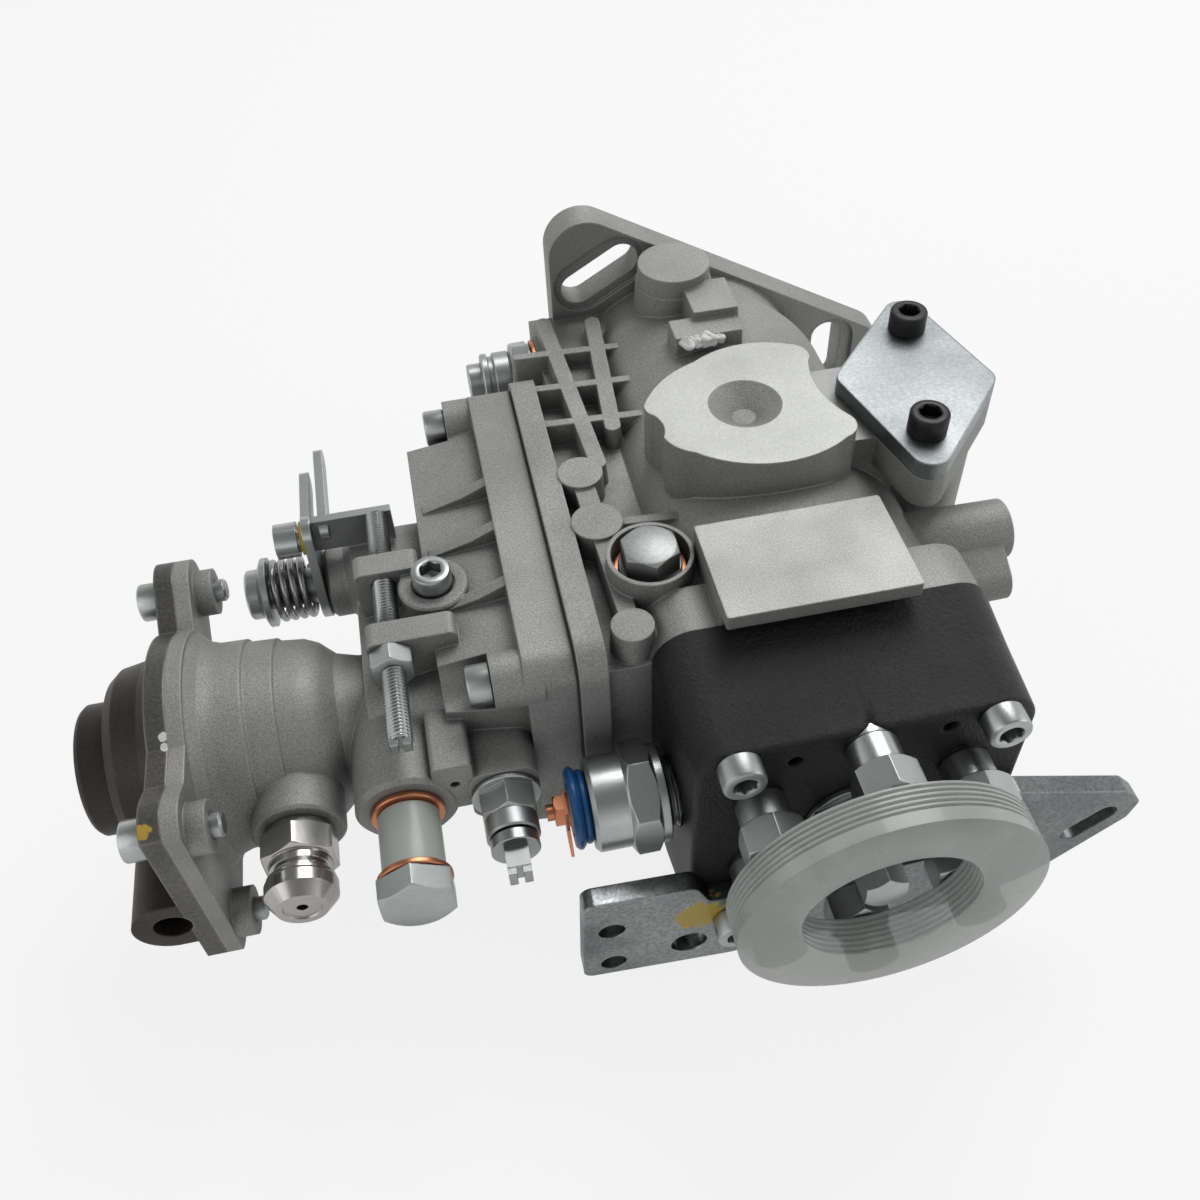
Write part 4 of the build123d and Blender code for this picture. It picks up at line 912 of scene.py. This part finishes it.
def keep_modifiers(piece: bpy.types.Object) -> None:
    """Gives a piece the mesh that its modifiers make of it, and clears them.

    Args:
        piece: the piece.
    """
    graph = bpy.context.evaluated_depsgraph_get()
    mesh = bpy.data.meshes.new_from_object(piece.evaluated_get(graph))
    piece.modifiers.clear()
    piece.data = mesh


def settle_normals(piece: bpy.types.Object) -> None:
    """Weighs the normals of a piece by face area, so that flat faces stay flat beside
    rounds, and keeps the result in its mesh.

    Args:
        piece: the piece.
    """
    weighed = piece.modifiers.new("weighed", "WEIGHTED_NORMAL")
    weighed.mode, weighed.weight, weighed.keep_sharp = "FACE_AREA", 100, True
    keep_modifiers(piece)


@dataclass
class Housing(Assembly):
    """The cast body with its flange, machined faces and sealant.

    Attributes:
        pad: height of the machined pad's face, and the y that it stays below.
        plate_top: height of the smooth rectangular pad.
        flange_face: y of the mounting face.
        lumps: x, y, radius and phase of each ball of the sealant.
        lump_height: height of the balls' middles.
    """

    pad: tuple[float, float] = (53.0, -55.0)
    plate_top: float = 45.0
    flange_face: float = 0.0
    lumps: tuple = ((-8.6, -52.9, 2.4, 0.3), (-5.6, -52.8, 2.1, 1.7), (-2.9, -52.6, 2.5, 2.9),
                    (0.2, -52.4, 1.9, 4.0))
    lump_height: float = 46.2

    def build(self) -> None:
        """Dresses the casting, faces its machined surfaces and adds the sealant."""
        body = self.smooth("pump_housing", Surface.CASTING)
        centre, normal = face_table(body)
        up = normal[:, 2] > 0.99
        pad = up & (centre[:, 2] > self.pad[0] - 0.2) & (centre[:, 1] < self.pad[1])
        back = (normal[:, 1] > 0.99) & (centre[:, 1] > self.flange_face - 0.2)
        paint_faces(body, pad | back, Surface.MACHINED)
        plate = up & (np.abs(centre[:, 2] - self.plate_top) < 0.15)
        paint_faces(body, plate, Surface.SMOOTH_CASTING)
        self.smooth("cover_gasket", Surface.FIBRE)
        self.piece("sealant", self.sealant(), Surface.SEALANT)

    def sealant(self) -> Patch:
        """A squeezed-out string of sealant: a row of balls whose radius swells and shrinks
        with the sine of three times the angle round them and the cosine of four times the
        angle down them.

        Returns:
            The row.
        """
        around, tall = np.meshgrid(full_turn(32), np.linspace(0.03, pi - 0.03, 20))
        row = []
        for x, y, size, phase in self.lumps:
            radius = size * (1 + 0.16 * np.sin(3 * around + phase)
                             + 0.12 * np.cos(4 * tall + phase))
            rings = np.stack([radius * np.sin(tall) * np.cos(around),
                              radius * np.sin(tall) * np.sin(around),
                              -radius * 0.7 * np.cos(tall)], axis=-1)
            row.append(skin(rings).placed(Place(x, y, self.lump_height)))
        return row[0].joined(*row[1:])


def face_table(piece: bpy.types.Object) -> tuple[np.ndarray, np.ndarray]:
    """Reads where a piece's faces are and where they look.

    Args:
        piece: the piece.

    Returns:
        The faces' centres in millimetres, and their normals.
    """
    count = len(piece.data.polygons)
    centre, normal = np.empty(count * 3), np.empty(count * 3)
    piece.data.polygons.foreach_get("center", centre)
    piece.data.polygons.foreach_get("normal", normal)
    return centre.reshape(-1, 3) / MM, normal.reshape(-1, 3)


def paint_faces(piece: bpy.types.Object, chosen: np.ndarray, surface: Surface) -> None:
    """Gives some faces of a piece another finish.

    Args:
        piece: the piece.
        chosen: one truth value for each of its faces.
        surface: their new finish.
    """
    piece.data.materials.append(surface.value.material())
    count = len(piece.data.polygons)
    slots = np.empty(count, dtype=np.int32)
    piece.data.polygons.foreach_get("material_index", slots)
    slots[chosen] = len(piece.data.materials) - 1
    piece.data.polygons.foreach_set("material_index", slots)
    piece.data.update()


@dataclass
class Head(Assembly):
    """The black hydraulic head with its valve holders, central plug and bracket.

    Attributes:
        outlets: number of delivery outlets.
        pitch_radius: radius of the circle on which they stand.
        screw_at: half the square on which the head screws stand.
        end: distance of the head's face from the flange.
        bracket: thickness of the bracket.
    """

    outlets: int = 6
    pitch_radius: float = 28.0
    screw_at: float = 30.0
    end: float = 181.0
    bracket: float = 5.0

    def outlet_places(self) -> list[Place]:
        """Spreads the delivery outlets evenly round their circle.

        Returns:
            Where they stand.
        """
        angles = [radians(30 + 360 / self.outlets * number) for number in range(self.outlets)]
        return [Place(self.pitch_radius * cos(a), 0, self.pitch_radius * sin(a), "-Y")
                for a in angles]

    def build(self) -> None:
        """Builds and dresses everything on the head."""
        self.smooth("hydraulic_head", Surface.BLACK_CASTING)
        self.smooth("support_bracket", Surface.BRACKET)
        corner = (-self.screw_at, self.screw_at)
        screws = [Place(x, -self.end - (self.bracket if z < 0 else 0), z, "-Y")
                  for x in corner for z in corner]
        self.piece("head_cap_screws", copies(socket_screw(44.5), screws), Surface.ZINC,
                   "head_screws")
        self.piece("outlet_holders", copies(self.holder(), self.outlet_places()), Surface.ZINC,
                   "delivery_valve_holders")
        self.piece("centre_plug", self.plug().placed(OUTLET_AXIS), Surface.ZINC,
                   "central_plug")

    def holder(self) -> Patch:
        """A valve holder: barrel, hexagon, and a threaded end with its cone seat.

        Returns:
            The holder, along its own axis.
        """
        barrel = turned([(3.0, 161.0), (5.2, 161.0), (5.5, 161.4), (5.5, 181.2), (6.0, 181.8),
                         (6.0, 188.6)])
        nut = hexagon(14.0, 188.5, 196.6, both=True)
        neck = threaded(6.0, 1.5, 196.4, 203.6, 0.7)
        tip = turned([(4.6, 203.0), (4.9, 204.6), (4.5, 205.0), (2.8, 205.0), (1.2, 202.0),
                      (1.2, 201.0)])
        return barrel.joined(nut, neck, tip)

    def plug(self) -> Patch:
        """The central plug: collar, large hexagon and a small hexagon vent screw.

        Returns:
            The plug, along its own axis.
        """
        collar = turned([(10.0, 172.5), (10.0, 181.0), (12.3, 181.0), (12.5, 181.2),
                         (12.5, 182.3), (12.3, 182.5)])
        return collar.joined(hexagon(22.0, 182.5, 191.0), turned([(6.5, 190.5), (6.5, 192.2)]),
                             hexagon(10.0, 192.0, 203.0))


@dataclass
class RingCap(Assembly):
    """The clear screw ring that covers the outlets.

    Attributes:
        radius: outer radius over the ridges.
        hole: inner radius over the ridges.
        span: where the ring begins and ends.
        ridges: how many ridges it has outside and inside.
        band: share of its height that is plain outside, at its front.
        ridge_depth: depth of the outer and of the inner ridges.
        pocket: radius and end of the pockets over the outlets.
        around: how many points make a turn.
    """

    body: str = "cap"
    radius: float = 36.0
    hole: float = 21.0
    span: tuple[float, float] = (196.6, 207.0)
    ridges: tuple[int, int] = (5, 7)
    band: float = 0.36
    ridge_depth: tuple[float, float] = (1.0, 0.8)
    pocket: tuple[float, float] = (6.25, 205.4)
    around: int = 160

    def build(self, places: list[Place]) -> None:
        """Builds the ring, sinks its pockets and dresses it.

        Args:
            places: where the outlets stand.
        """
        ring = self.ring().placed(OUTLET_AXIS).to_object("ring_cap")
        well = turned([(self.pocket[0], self.span[0] - 1), (self.pocket[0], self.pocket[1])], 48)
        wells = copies(well, places).to_object("ring_cap_pockets")
        cut = ring.modifiers.new("pockets", "BOOLEAN")
        cut.object, cut.operation, cut.solver = wells, "DIFFERENCE", "EXACT"
        keep_modifiers(ring)
        bpy.data.objects.remove(wells)
        settle_mesh(ring.data, SHARP_ANGLE, weld=True)
        self.stand_in(ring, Surface.CLEAR, "outlet_cap")

    def ring(self) -> Patch:
        """The ring: its radius outside and inside dips by a narrow groove between each two
        ridges along its height, between two flat faces. A plain band follows the outer ones.

        Returns:
            The ring, along its own axis.
        """
        low, high = self.span
        rise = np.linspace(0, 1, 97)
        outer = self.radius - self.ridge_depth[0] * self.groove(
            np.minimum(rise / (1 - self.band) * self.ridges[0], self.ridges[0] + 0.5))
        inner = self.hole + self.ridge_depth[1] * self.groove(rise * self.ridges[1])
        height = low + 0.3 + rise * (high - low - 0.6)
        loop = [(self.hole + 1.0, low), (self.radius - 1.0, low)]
        loop += list(zip(outer, height))
        loop += [(self.radius - 1.1, high), (self.hole + 1.1, high)]
        loop += list(zip(inner[::-1], height[::-1]))
        return closed_ring(loop, self.around)

    @staticmethod
    def groove(ridge: np.ndarray) -> np.ndarray:
        """How deep the grooves are: 0.75 less 0.95 of the sine of half a turn per ridge, and
        0 at least.

        Args:
            ridge: the place along the height, counted in ridges.

        Returns:
            0 on the ridges, and up to 0.75 in the grooves, at whole numbers.
        """
        return np.clip(0.75 - 0.95 * np.abs(np.sin(pi * ridge)), 0, 1)


@dataclass
class GovernorCover(Assembly):
    """The governor cover with its screws, adjusting screws and unions.

    Attributes:
        screw_seat: x on which its four screws sit.
        screw_rows: y of the two rows of screws.
        screw_z: half the distance between the rows' screws.
        idle: x and z of the idle screw.
        full: x of the full-load screw.
        side_screw: where the screw beside the adjusters sits.
        banjo: where the fuel union's lower washer lies.
        sleeve: height of the fuel union's upper washer over the lower.
        plug: where the side plug's washer lies.
        outflow: where the overflow union's washer lies.
    """

    screw_seat: float = -79.0
    screw_rows: tuple[float, float] = (-46.0, -142.5)
    screw_z: float = 25.0
    idle: tuple[float, float] = (-101.5, 25.0)
    full: float = -80.0
    side_screw: Place = Place(-89.0, -110.0, 27.0)
    banjo: Place = Place(-104.0, -157.0, 0, "-Y")
    sleeve: float = 18.0
    plug: Place = Place(-36.2, -124.0, 34.0)
    outflow: Place = Place(-48.0, -21.0, 20.0, "-X")

    def build(self) -> None:
        """Builds and dresses the cover and everything screwed into it."""
        self.smooth("governor_cover", Surface.CASTING)
        screws = [Place(self.screw_seat, y, z, "-X") for y in self.screw_rows
                  for z in (-self.screw_z, self.screw_z)]
        long_screws = copies(socket_screw(26.0), screws)
        short_screw = socket_screw(13.0).placed(self.side_screw)
        self.piece("cover_cap_screws", long_screws.joined(short_screw), Surface.ZINC,
                   "cover_screws")
        self.build_adjusters()
        self.build_unions()

    def build_adjusters(self) -> None:
        """Builds the idle screw, the full-load screw and their lock nuts."""
        idle, full = Place(self.idle[0], 0, self.idle[1], "-Y"), Place(self.full, 0, 0, "-Y")
        idle_screw = threaded(3.0, 1.0, 79.4, 154.9).joined(*self.jaws(1.5, 1.8, 154.6, 156.8))
        screws = idle_screw.placed(idle).joined(self.full_load_screw().placed(full))
        self.piece("adjusting_threads", screws, Surface.THREAD, "adjusting_screws")
        nut = hexagon(10.0, 129.0, 134.5, both=True).placed(idle)
        seat = turned([(8.0, 157.0), (8.5, 157.2), (8.5, 158.0), (8.2, 158.2)])
        large = seat.joined(hexagon(13.0, 158.2, 165.0),
                            turned([(6.2, 164.9), (6.5, 165.2), (6.5, 169.6), (6.1, 170.0)]))
        self.piece("adjuster_nuts", nut.joined(large.placed(full)), Surface.ZINC, "lock_nuts")

    def full_load_screw(self) -> Patch:
        """The full-load screw: thread, collar, and a squared end with a slot in it.

        Returns:
            The screw, along its own axis.
        """
        thread = threaded(4.0, 1.0, 118.0, 171.0)
        collar = turned([(5.6, 170.5), (5.9, 170.7), (5.9, 173.3), (5.6, 173.5)])
        half = shaped([(2.8, 173.3, 1), (2.8, 179.0, 1), (2.5, 179.2, 1)], 4)
        return thread.joined(collar, half, *self.jaws(1.75, 2.5, 178.9, 181.0))

    @staticmethod
    def jaws(apart: float, half: float, low: float, high: float) -> list[Patch]:
        """The two blocks that a screwdriver's slot leaves at a screw's end.

        Args:
            apart: how far each block's middle stands from the axis.
            half: half the blocks' length.
            low: height of their foot.
            high: height of their face.

        Returns:
            The two blocks.
        """
        block = shaped([(1.0, low, 1), (1.0, high - 0.3, 1), (0.8, high, 1)], 4)
        stretch = np.array([1.0, half, 1.0])
        return [Patch(block.points * stretch + np.array([side * apart, 0, 0]), block.faces)
                for side in (-1, 1)]

    def build_unions(self) -> None:
        """Builds the fuel union, the side plug, the overflow union and all their washers."""
        bolt = turned([(6.0, -17.0), (6.0, 19.6)]).joined(
            turned([(7.8, 19.5), (8.2, 19.6), (8.2, 20.1), (7.8, 20.3)]),
            hexagon(17.0, 19.9, 26.0))
        self.piece("union_bolt", bolt.placed(self.banjo), Surface.ZINC, "banjo_bolt")
        sleeve = washer(7.5, 6.1, 1.5, self.sleeve, 0.5).placed(self.banjo)
        self.piece("union_sleeve", sleeve, Surface.WHITE_PLASTIC, "banjo_sleeve")
        upper = Place(self.banjo.x, self.banjo.y - self.sleeve, 0, "-Y")
        rings = copies(washer(8.9, 6.1, 0, 1.5, 0.3), [self.banjo, upper]).joined(
            washer(9.0, 7.1, 0, 1.5, 0.3).placed(self.plug),
            washer(10.0, 6.1, 0, 1.5, 0.3).placed(self.outflow))
        self.piece("soft_washers", rings, Surface.COPPER, "copper_washers")
        side = turned([(7.0, -12.0), (7.0, 1.5), (7.7, 1.5), (7.9, 1.7), (7.9, 2.3),
                       (7.6, 2.6)]).joined(hexagon(13.0, 2.4, 9.0))
        self.piece("filler_plug", side.placed(self.plug), Surface.SATIN_ZINC, "side_plug")
        self.piece("overflow_union", self.overflow().placed(self.outflow), Surface.ZINC,
                   "overflow_fitting")

    def overflow(self) -> Patch:
        """The overflow union: hexagon, banjo body with two beads, and a hollow nose.

        Returns:
            The union, along its own axis.
        """
        body = turned([(6.0, -12.0), (6.0, 1.5), (8.7, 1.5), (9.0, 1.8), (9.0, 2.5), (8.0, 2.6),
                       (8.0, 7.9), (7.6, 8.0), (7.6, 8.4), (8.0, 8.8), (8.0, 13.1), (7.6, 13.5),
                       (7.0, 13.6), (7.0, 14.9), (7.7, 15.0), (8.0, 15.3), (8.0, 16.7),
                       (7.6, 17.1), (5.5, 17.4), (5.5, 21.1), (5.1, 21.5), (2.9, 21.5),
                       (2.5, 21.1), (2.5, 12.0)])
        return body.joined(hexagon(19.0, 2.5, 8.0))


@dataclass
class Boost(Assembly):
    """The boost compensator's cover, its screws and its pressure union.

    Attributes:
        axis: y and z of its axis.
        bolt: half the rectangle on which its screws stand.
        seat: x on which its screws sit.
        flange: x where the flange ends and the dome begins.
        outlet: where the pressure union's shoulder sits.
    """

    axis: tuple[float, float] = (-123.0, -6.0)
    bolt: tuple[float, float] = (37.0, 20.0)
    seat: float = -160.5
    flange: float = -160.6
    outlet: Place = Place(-131.0, -154.0, -5.0, "-Y")

    def build(self) -> None:
        """Builds and dresses the compensator."""
        dome = self.smooth("boost_cover", Surface.DOME_CASTING)
        centre, _ = face_table(dome)
        paint_faces(dome, centre[:, 0] > self.flange, Surface.FLANGE_CASTING)
        y, z = self.axis
        screws = [Place(self.seat, y + side, z + rise, "-X")
                  for side in (-self.bolt[0], self.bolt[0])
                  for rise in (-self.bolt[1], self.bolt[1])]
        self.piece("boost_cap_screws", copies(socket_screw(16.5), screws), Surface.ZINC,
                   "boost_screws")
        self.piece("boost_union", self.union().placed(self.outlet), Surface.STAINLESS,
                   "boost_fitting")

    def union(self) -> Patch:
        """The pressure union: stem, hexagon, and a bevelled sleeve round a small bore.

        Returns:
            The union, along its own axis.
        """
        stem = turned([(5.0, -7.0), (5.0, 0.0), (7.9, 0.0), (8.2, 0.3), (8.2, 1.6)])
        sleeve = turned([(7.6, 8.8), (7.6, 11.0), (6.6, 11.6), (6.6, 12.6), (8.2, 13.2),
                         (8.2, 13.9), (8.7, 14.6), (8.7, 17.6), (6.2, 20.8), (4.6, 20.8),
                         (4.3, 20.3), (1.4, 20.3), (1.3, 20.2), (1.3, 14.0)])
        return stem.joined(hexagon(17.0, 1.5, 9.0, both=True), sleeve)


@dataclass
class Throttle(Assembly):
    """The throttle shaft and lever, and the return spring beside them.

    Attributes:
        axis: y and z of the shaft.
        spring: radius of its centre line, wire, pitch and turns.
        spring_start: x at which the spring begins.
        pin: y, z and radius of the lever's painted pin.
        band: x between which the pin is painted.
    """

    body: str = "throttle"
    axis: tuple[float, float] = (-78.0, 2.0)
    spring: tuple[float, float, float, float] = (8.0, 2.0, 2.35, 4.0)
    spring_start: float = -122.8
    pin: tuple[float, float, float] = (-77.0, 19.5, 4.8)
    band: tuple[float, float] = (-122.85, -121.35)

    def build(self) -> None:
        """Builds and dresses the shaft, the lever and the spring."""
        self.smooth("throttle_shaft", Surface.ZINC)
        lever = self.smooth("throttle_lever", Surface.ZINC)
        centre, _ = face_table(lever)
        y, z, reach = self.pin
        near = np.hypot(centre[:, 1] - y, centre[:, 2] - z) < reach
        band = near & (centre[:, 0] > self.band[0]) & (centre[:, 0] < self.band[1])
        paint_faces(lever, band, Surface.YELLOW_PAINT)
        wound = coil(*self.spring).placed(Place(self.spring_start, *self.axis, "-X"))
        # The spring doesn't turn with the lever, so it rides on the housing.
        Assembly().piece("return_spring", wound, Surface.SPRING, "throttle_spring")


@dataclass
class StopSolenoid(Assembly):
    """The stop solenoid with its blue seal rings, cable tag and nut.

    Attributes:
        place: where its axis starts, looking away from the head.
    """

    place: Place = Place(0, -165.0, 0, "-X")

    def build(self) -> None:
        """Builds and dresses the solenoid."""
        thread = threaded(9.0, 1.5, 32.0, 43.2)
        collar = turned([(11.7, 43.0), (12.0, 43.3), (12.0, 45.2)])
        barrel = turned([(11.5, 51.9), (11.5, 60.2), (10.5, 61.2), (6.0, 61.2), (6.0, 66.0)])
        body = thread.joined(collar, hexagon(24.0, 45.0, 52.5, both=True), barrel)
        self.piece("solenoid_case", body.placed(self.place), Surface.ZINC, "solenoid_body")
        rings = washer(9.0, 6.1, 61.3, 63.5, 0.7).joined(washer(10.0, 6.1, 63.4, 65.8, 0.8))
        self.piece("seal_rings", rings.placed(self.place), Surface.BLUE_RUBBER,
                   "solenoid_rings")
        self.smooth("solenoid_terminal", Surface.COPPER)


@dataclass
class TimingDevice(Assembly):
    """The timing device's two covers and their black screws.

    Attributes:
        seat: height of the covers' faces.
        spots: x and y of the two screws on each cover.
    """

    seat: float = 50.0
    spots: tuple = ((38.616, -107.815), (49.384, -66.185))

    def build(self) -> None:
        """Builds and dresses the covers."""
        self.smooth("timing_covers", Surface.COVER_ZINC)
        places = [Place(x, y, side * self.seat, "+Z" if side > 0 else "-Z")
                  for x, y in self.spots for side in (-1, 1)]
        self.piece("timing_cap_screws", copies(socket_screw(13.0), places),
                   Surface.BLACK_OXIDE, "timing_screws")


@dataclass
class DriveEnd(Assembly):
    """The tapered drive shaft with its key, which turn together."""

    body: str = "drive"

    def build(self) -> None:
        """Dresses the shaft and its key."""
        self.smooth("drive_shaft", Surface.GROUND)
        self.smooth("shaft_key", Surface.GROUND)


# The finish of each material slot, for nodes that no piece stands for.
INNER_FINISHES = {
    "ground_steel": Surface.GROUND,
    "spring_steel": Surface.SPRING,
    "bronze": Surface.BRONZE,
    "dark_cast": Surface.DARK_CASTING,
    "black_rubber": Surface.BLACK_RUBBER,
    "zinc_steel": Surface.ZINC,
}


def dress_inner_nodes() -> None:
    """Gives each node that no piece stands for a finish by its material slot."""
    shown = {node for piece in bpy.data.objects for node in piece.get("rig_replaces", [])}
    for entry in frame["record"]["subparts"]:
        if entry["node"] not in shown:
            finish = INNER_FINISHES[entry["material_slot"]].value
            frame["nodes"][entry["node"]].material_slots[0].material = finish.material()
            LOG.info("%s: %s", entry["node"], finish.name)


# ---- studio -----------------------------------------------------------------------------------
@dataclass
class Studio:
    """The floor, the light and the camera.

    Attributes:
        eye: the camera's place in millimetres.
        turn: degrees by which it looks to the side of +Y.
        dip: degrees by which it looks down.
        roll: degrees by which it leans.
        lens: focal length in pixels of a view 1200 wide.
        lamps: (name, place, power in watts, size) of each lamp, in metres.
        aim: the place that the lamps look at, in metres.
        floor_seen: brightness added to the floor for the eye and for glosses.
        sky_seen: share of the sky's own brightness for the eye and for glosses.
        sky_light: brightness of the sky for all other rays.
    """

    eye: tuple[float, float, float] = (-80.46, -318.17, 244.85)
    turn: float = -9.2
    dip: float = 48.0
    roll: float = -3.1
    lens: float = 1185.0
    lamps: tuple = (("key", (0.35, 0.45, 1.0), 7.6, 0.7), ("fill", (-0.9, -0.5, 0.6), 1.6, 0.8),
                    ("rim", (0.9, -0.3, 0.5), 1.3, 0.5))
    aim: tuple[float, float, float] = (-0.05, -0.1, 0.0)
    floor_seen: tuple[float, float] = (0.84, 0.45)
    sky_seen: tuple[float, float] = (0.87, 1.0)
    sky_light: float = 0.24

    def build(self) -> None:
        """Sets up the whole studio."""
        self.add_floor()
        self.add_world()
        for lamp in self.lamps:
            self.add_lamp(*lamp)
        self.add_camera()
        bpy.context.scene.view_settings.view_transform = "Standard"

    def add_floor(self) -> None:
        """Adds the pale floor on which the pump stands, white to the eye but for shadows."""
        half, level = 6.0, CAD_BOX[0][2]
        mesh = bpy.data.meshes.new("floor")
        mesh.from_pydata([(-half, -half, level), (half, -half, level), (half, half, level),
                          (-half, half, level)], [], [(0, 1, 2, 3)])
        floor = add_object("floor", mesh)
        paint = bpy.data.materials.new("floor_paint")
        paint.use_nodes = True
        wire = Wiring(paint.node_tree)
        matt = paint.node_tree.nodes["Principled BSDF"]
        wire.link((0.8, 0.8, 0.8), matt.inputs["Base Color"])
        wire.link(0.7, matt.inputs["Roughness"])
        glow = wire.node("ShaderNodeEmission", {"Color": (1.0, 1.0, 1.0)})
        mixed = wire.node("ShaderNodeMixShader", {
            0: self.seen(wire, *self.floor_seen), 1: matt.outputs[0], 2: glow.outputs[0]})
        wire.link(mixed.outputs[0], paint.node_tree.nodes["Material Output"].inputs["Surface"])
        mesh.materials.append(paint)

    @staticmethod
    def seen(wire: Wiring, eye: float, gloss: float) -> bpy.types.NodeSocket:
        """Tells the rays that come from the eye, and those that a gloss or a glass sends,
        from all others.

        Args:
            wire: calls that add to the material's or the world's nodes.
            eye: value for rays from the eye.
            gloss: value for rays from a gloss or a glass.

        Returns:
            The value, 0 for all other rays.
        """
        path, total = wire.node("ShaderNodeLightPath").outputs, 0.0
        for label, share in (("Is Camera Ray", eye), ("Is Glossy Ray", gloss),
                             ("Is Transmission Ray", gloss)):
            total = wire.times_plus(path[label], share, total, clamp=True)
        return total

    def add_world(self) -> None:
        """Adds a pale sky that darkens towards its top, as a studio's ceiling does."""
        world = bpy.data.worlds.new("studio")
        bpy.context.scene.world = world
        world.use_nodes = True
        wire = Wiring(world.node_tree)
        sky = world.node_tree.nodes["Background"]
        ahead = wire.node("ShaderNodeTexCoord").outputs["Generated"]
        up = wire.node("ShaderNodeSeparateXYZ", {0: ahead}).outputs["Z"]
        mixed = wire.node("ShaderNodeMix", {
            0: self.seen(wire, *self.sky_seen), 2: self.sky_light,
            3: wire.ramp(up, 0.05, 0.75, 1.0, 0.22)}, data_type="FLOAT")
        wire.link(mixed.outputs[0], sky.inputs["Strength"])
        wire.link((1.0, 1.0, 1.0), sky.inputs["Color"])

    def add_lamp(self, name: str, place: tuple[float, float, float], power: float,
                 size: float) -> None:
        """Adds a square soft lamp that looks at the pump's middle.

        Args:
            name: its name.
            place: where it is, in metres.
            power: its power in watts.
            size: length of its sides in metres.
        """
        light = bpy.data.lights.new(name, "AREA")
        light.energy, light.size = power, size
        lamp = add_object(name, light)
        aim = Vector(self.aim) - Vector(place)
        lamp.matrix_world = (Matrix.Translation(place)
                             @ aim.to_track_quat("-Z", "Y").to_matrix().to_4x4())

    def add_camera(self) -> None:
        """Adds the camera from its angles: it looks along +Y turned, dipped and leaned."""
        side, dip, roll = radians(self.turn), radians(self.dip), radians(self.roll)
        ahead = Vector((-sin(side) * cos(dip), cos(side) * cos(dip), -sin(dip)))
        right = Vector((cos(side), sin(side), 0))
        above = right.cross(ahead)
        right, above = (right * cos(roll) + above * sin(roll),
                        above * cos(roll) - right * sin(roll))
        lens = bpy.data.cameras.new("camera")
        lens.sensor_width, lens.lens = 36.0, self.lens / 1200 * 36.0
        lens.clip_start = 0.01
        camera = add_object("camera", lens)
        basis = Matrix((right, above, -ahead)).transposed().to_4x4()
        camera.matrix_world = Matrix.Translation(Vector(self.eye) * MM) @ basis
        bpy.context.scene.camera = camera


def main() -> None:
    """Builds every assembly in turn, then the studio."""
    logging.basicConfig(level=logging.INFO, format="%(name)s %(message)s")
    Housing().build()
    head = Head()
    head.build()
    RingCap().build(head.outlet_places())
    for assembly in (GovernorCover(), Boost(), Throttle(), StopSolenoid(), TimingDevice(),
                     DriveEnd()):
        LOG.info("%s", type(assembly).__name__)
        assembly.build()
    dress_inner_nodes()
    Studio().build()


if __name__ == "__main__":
    main()
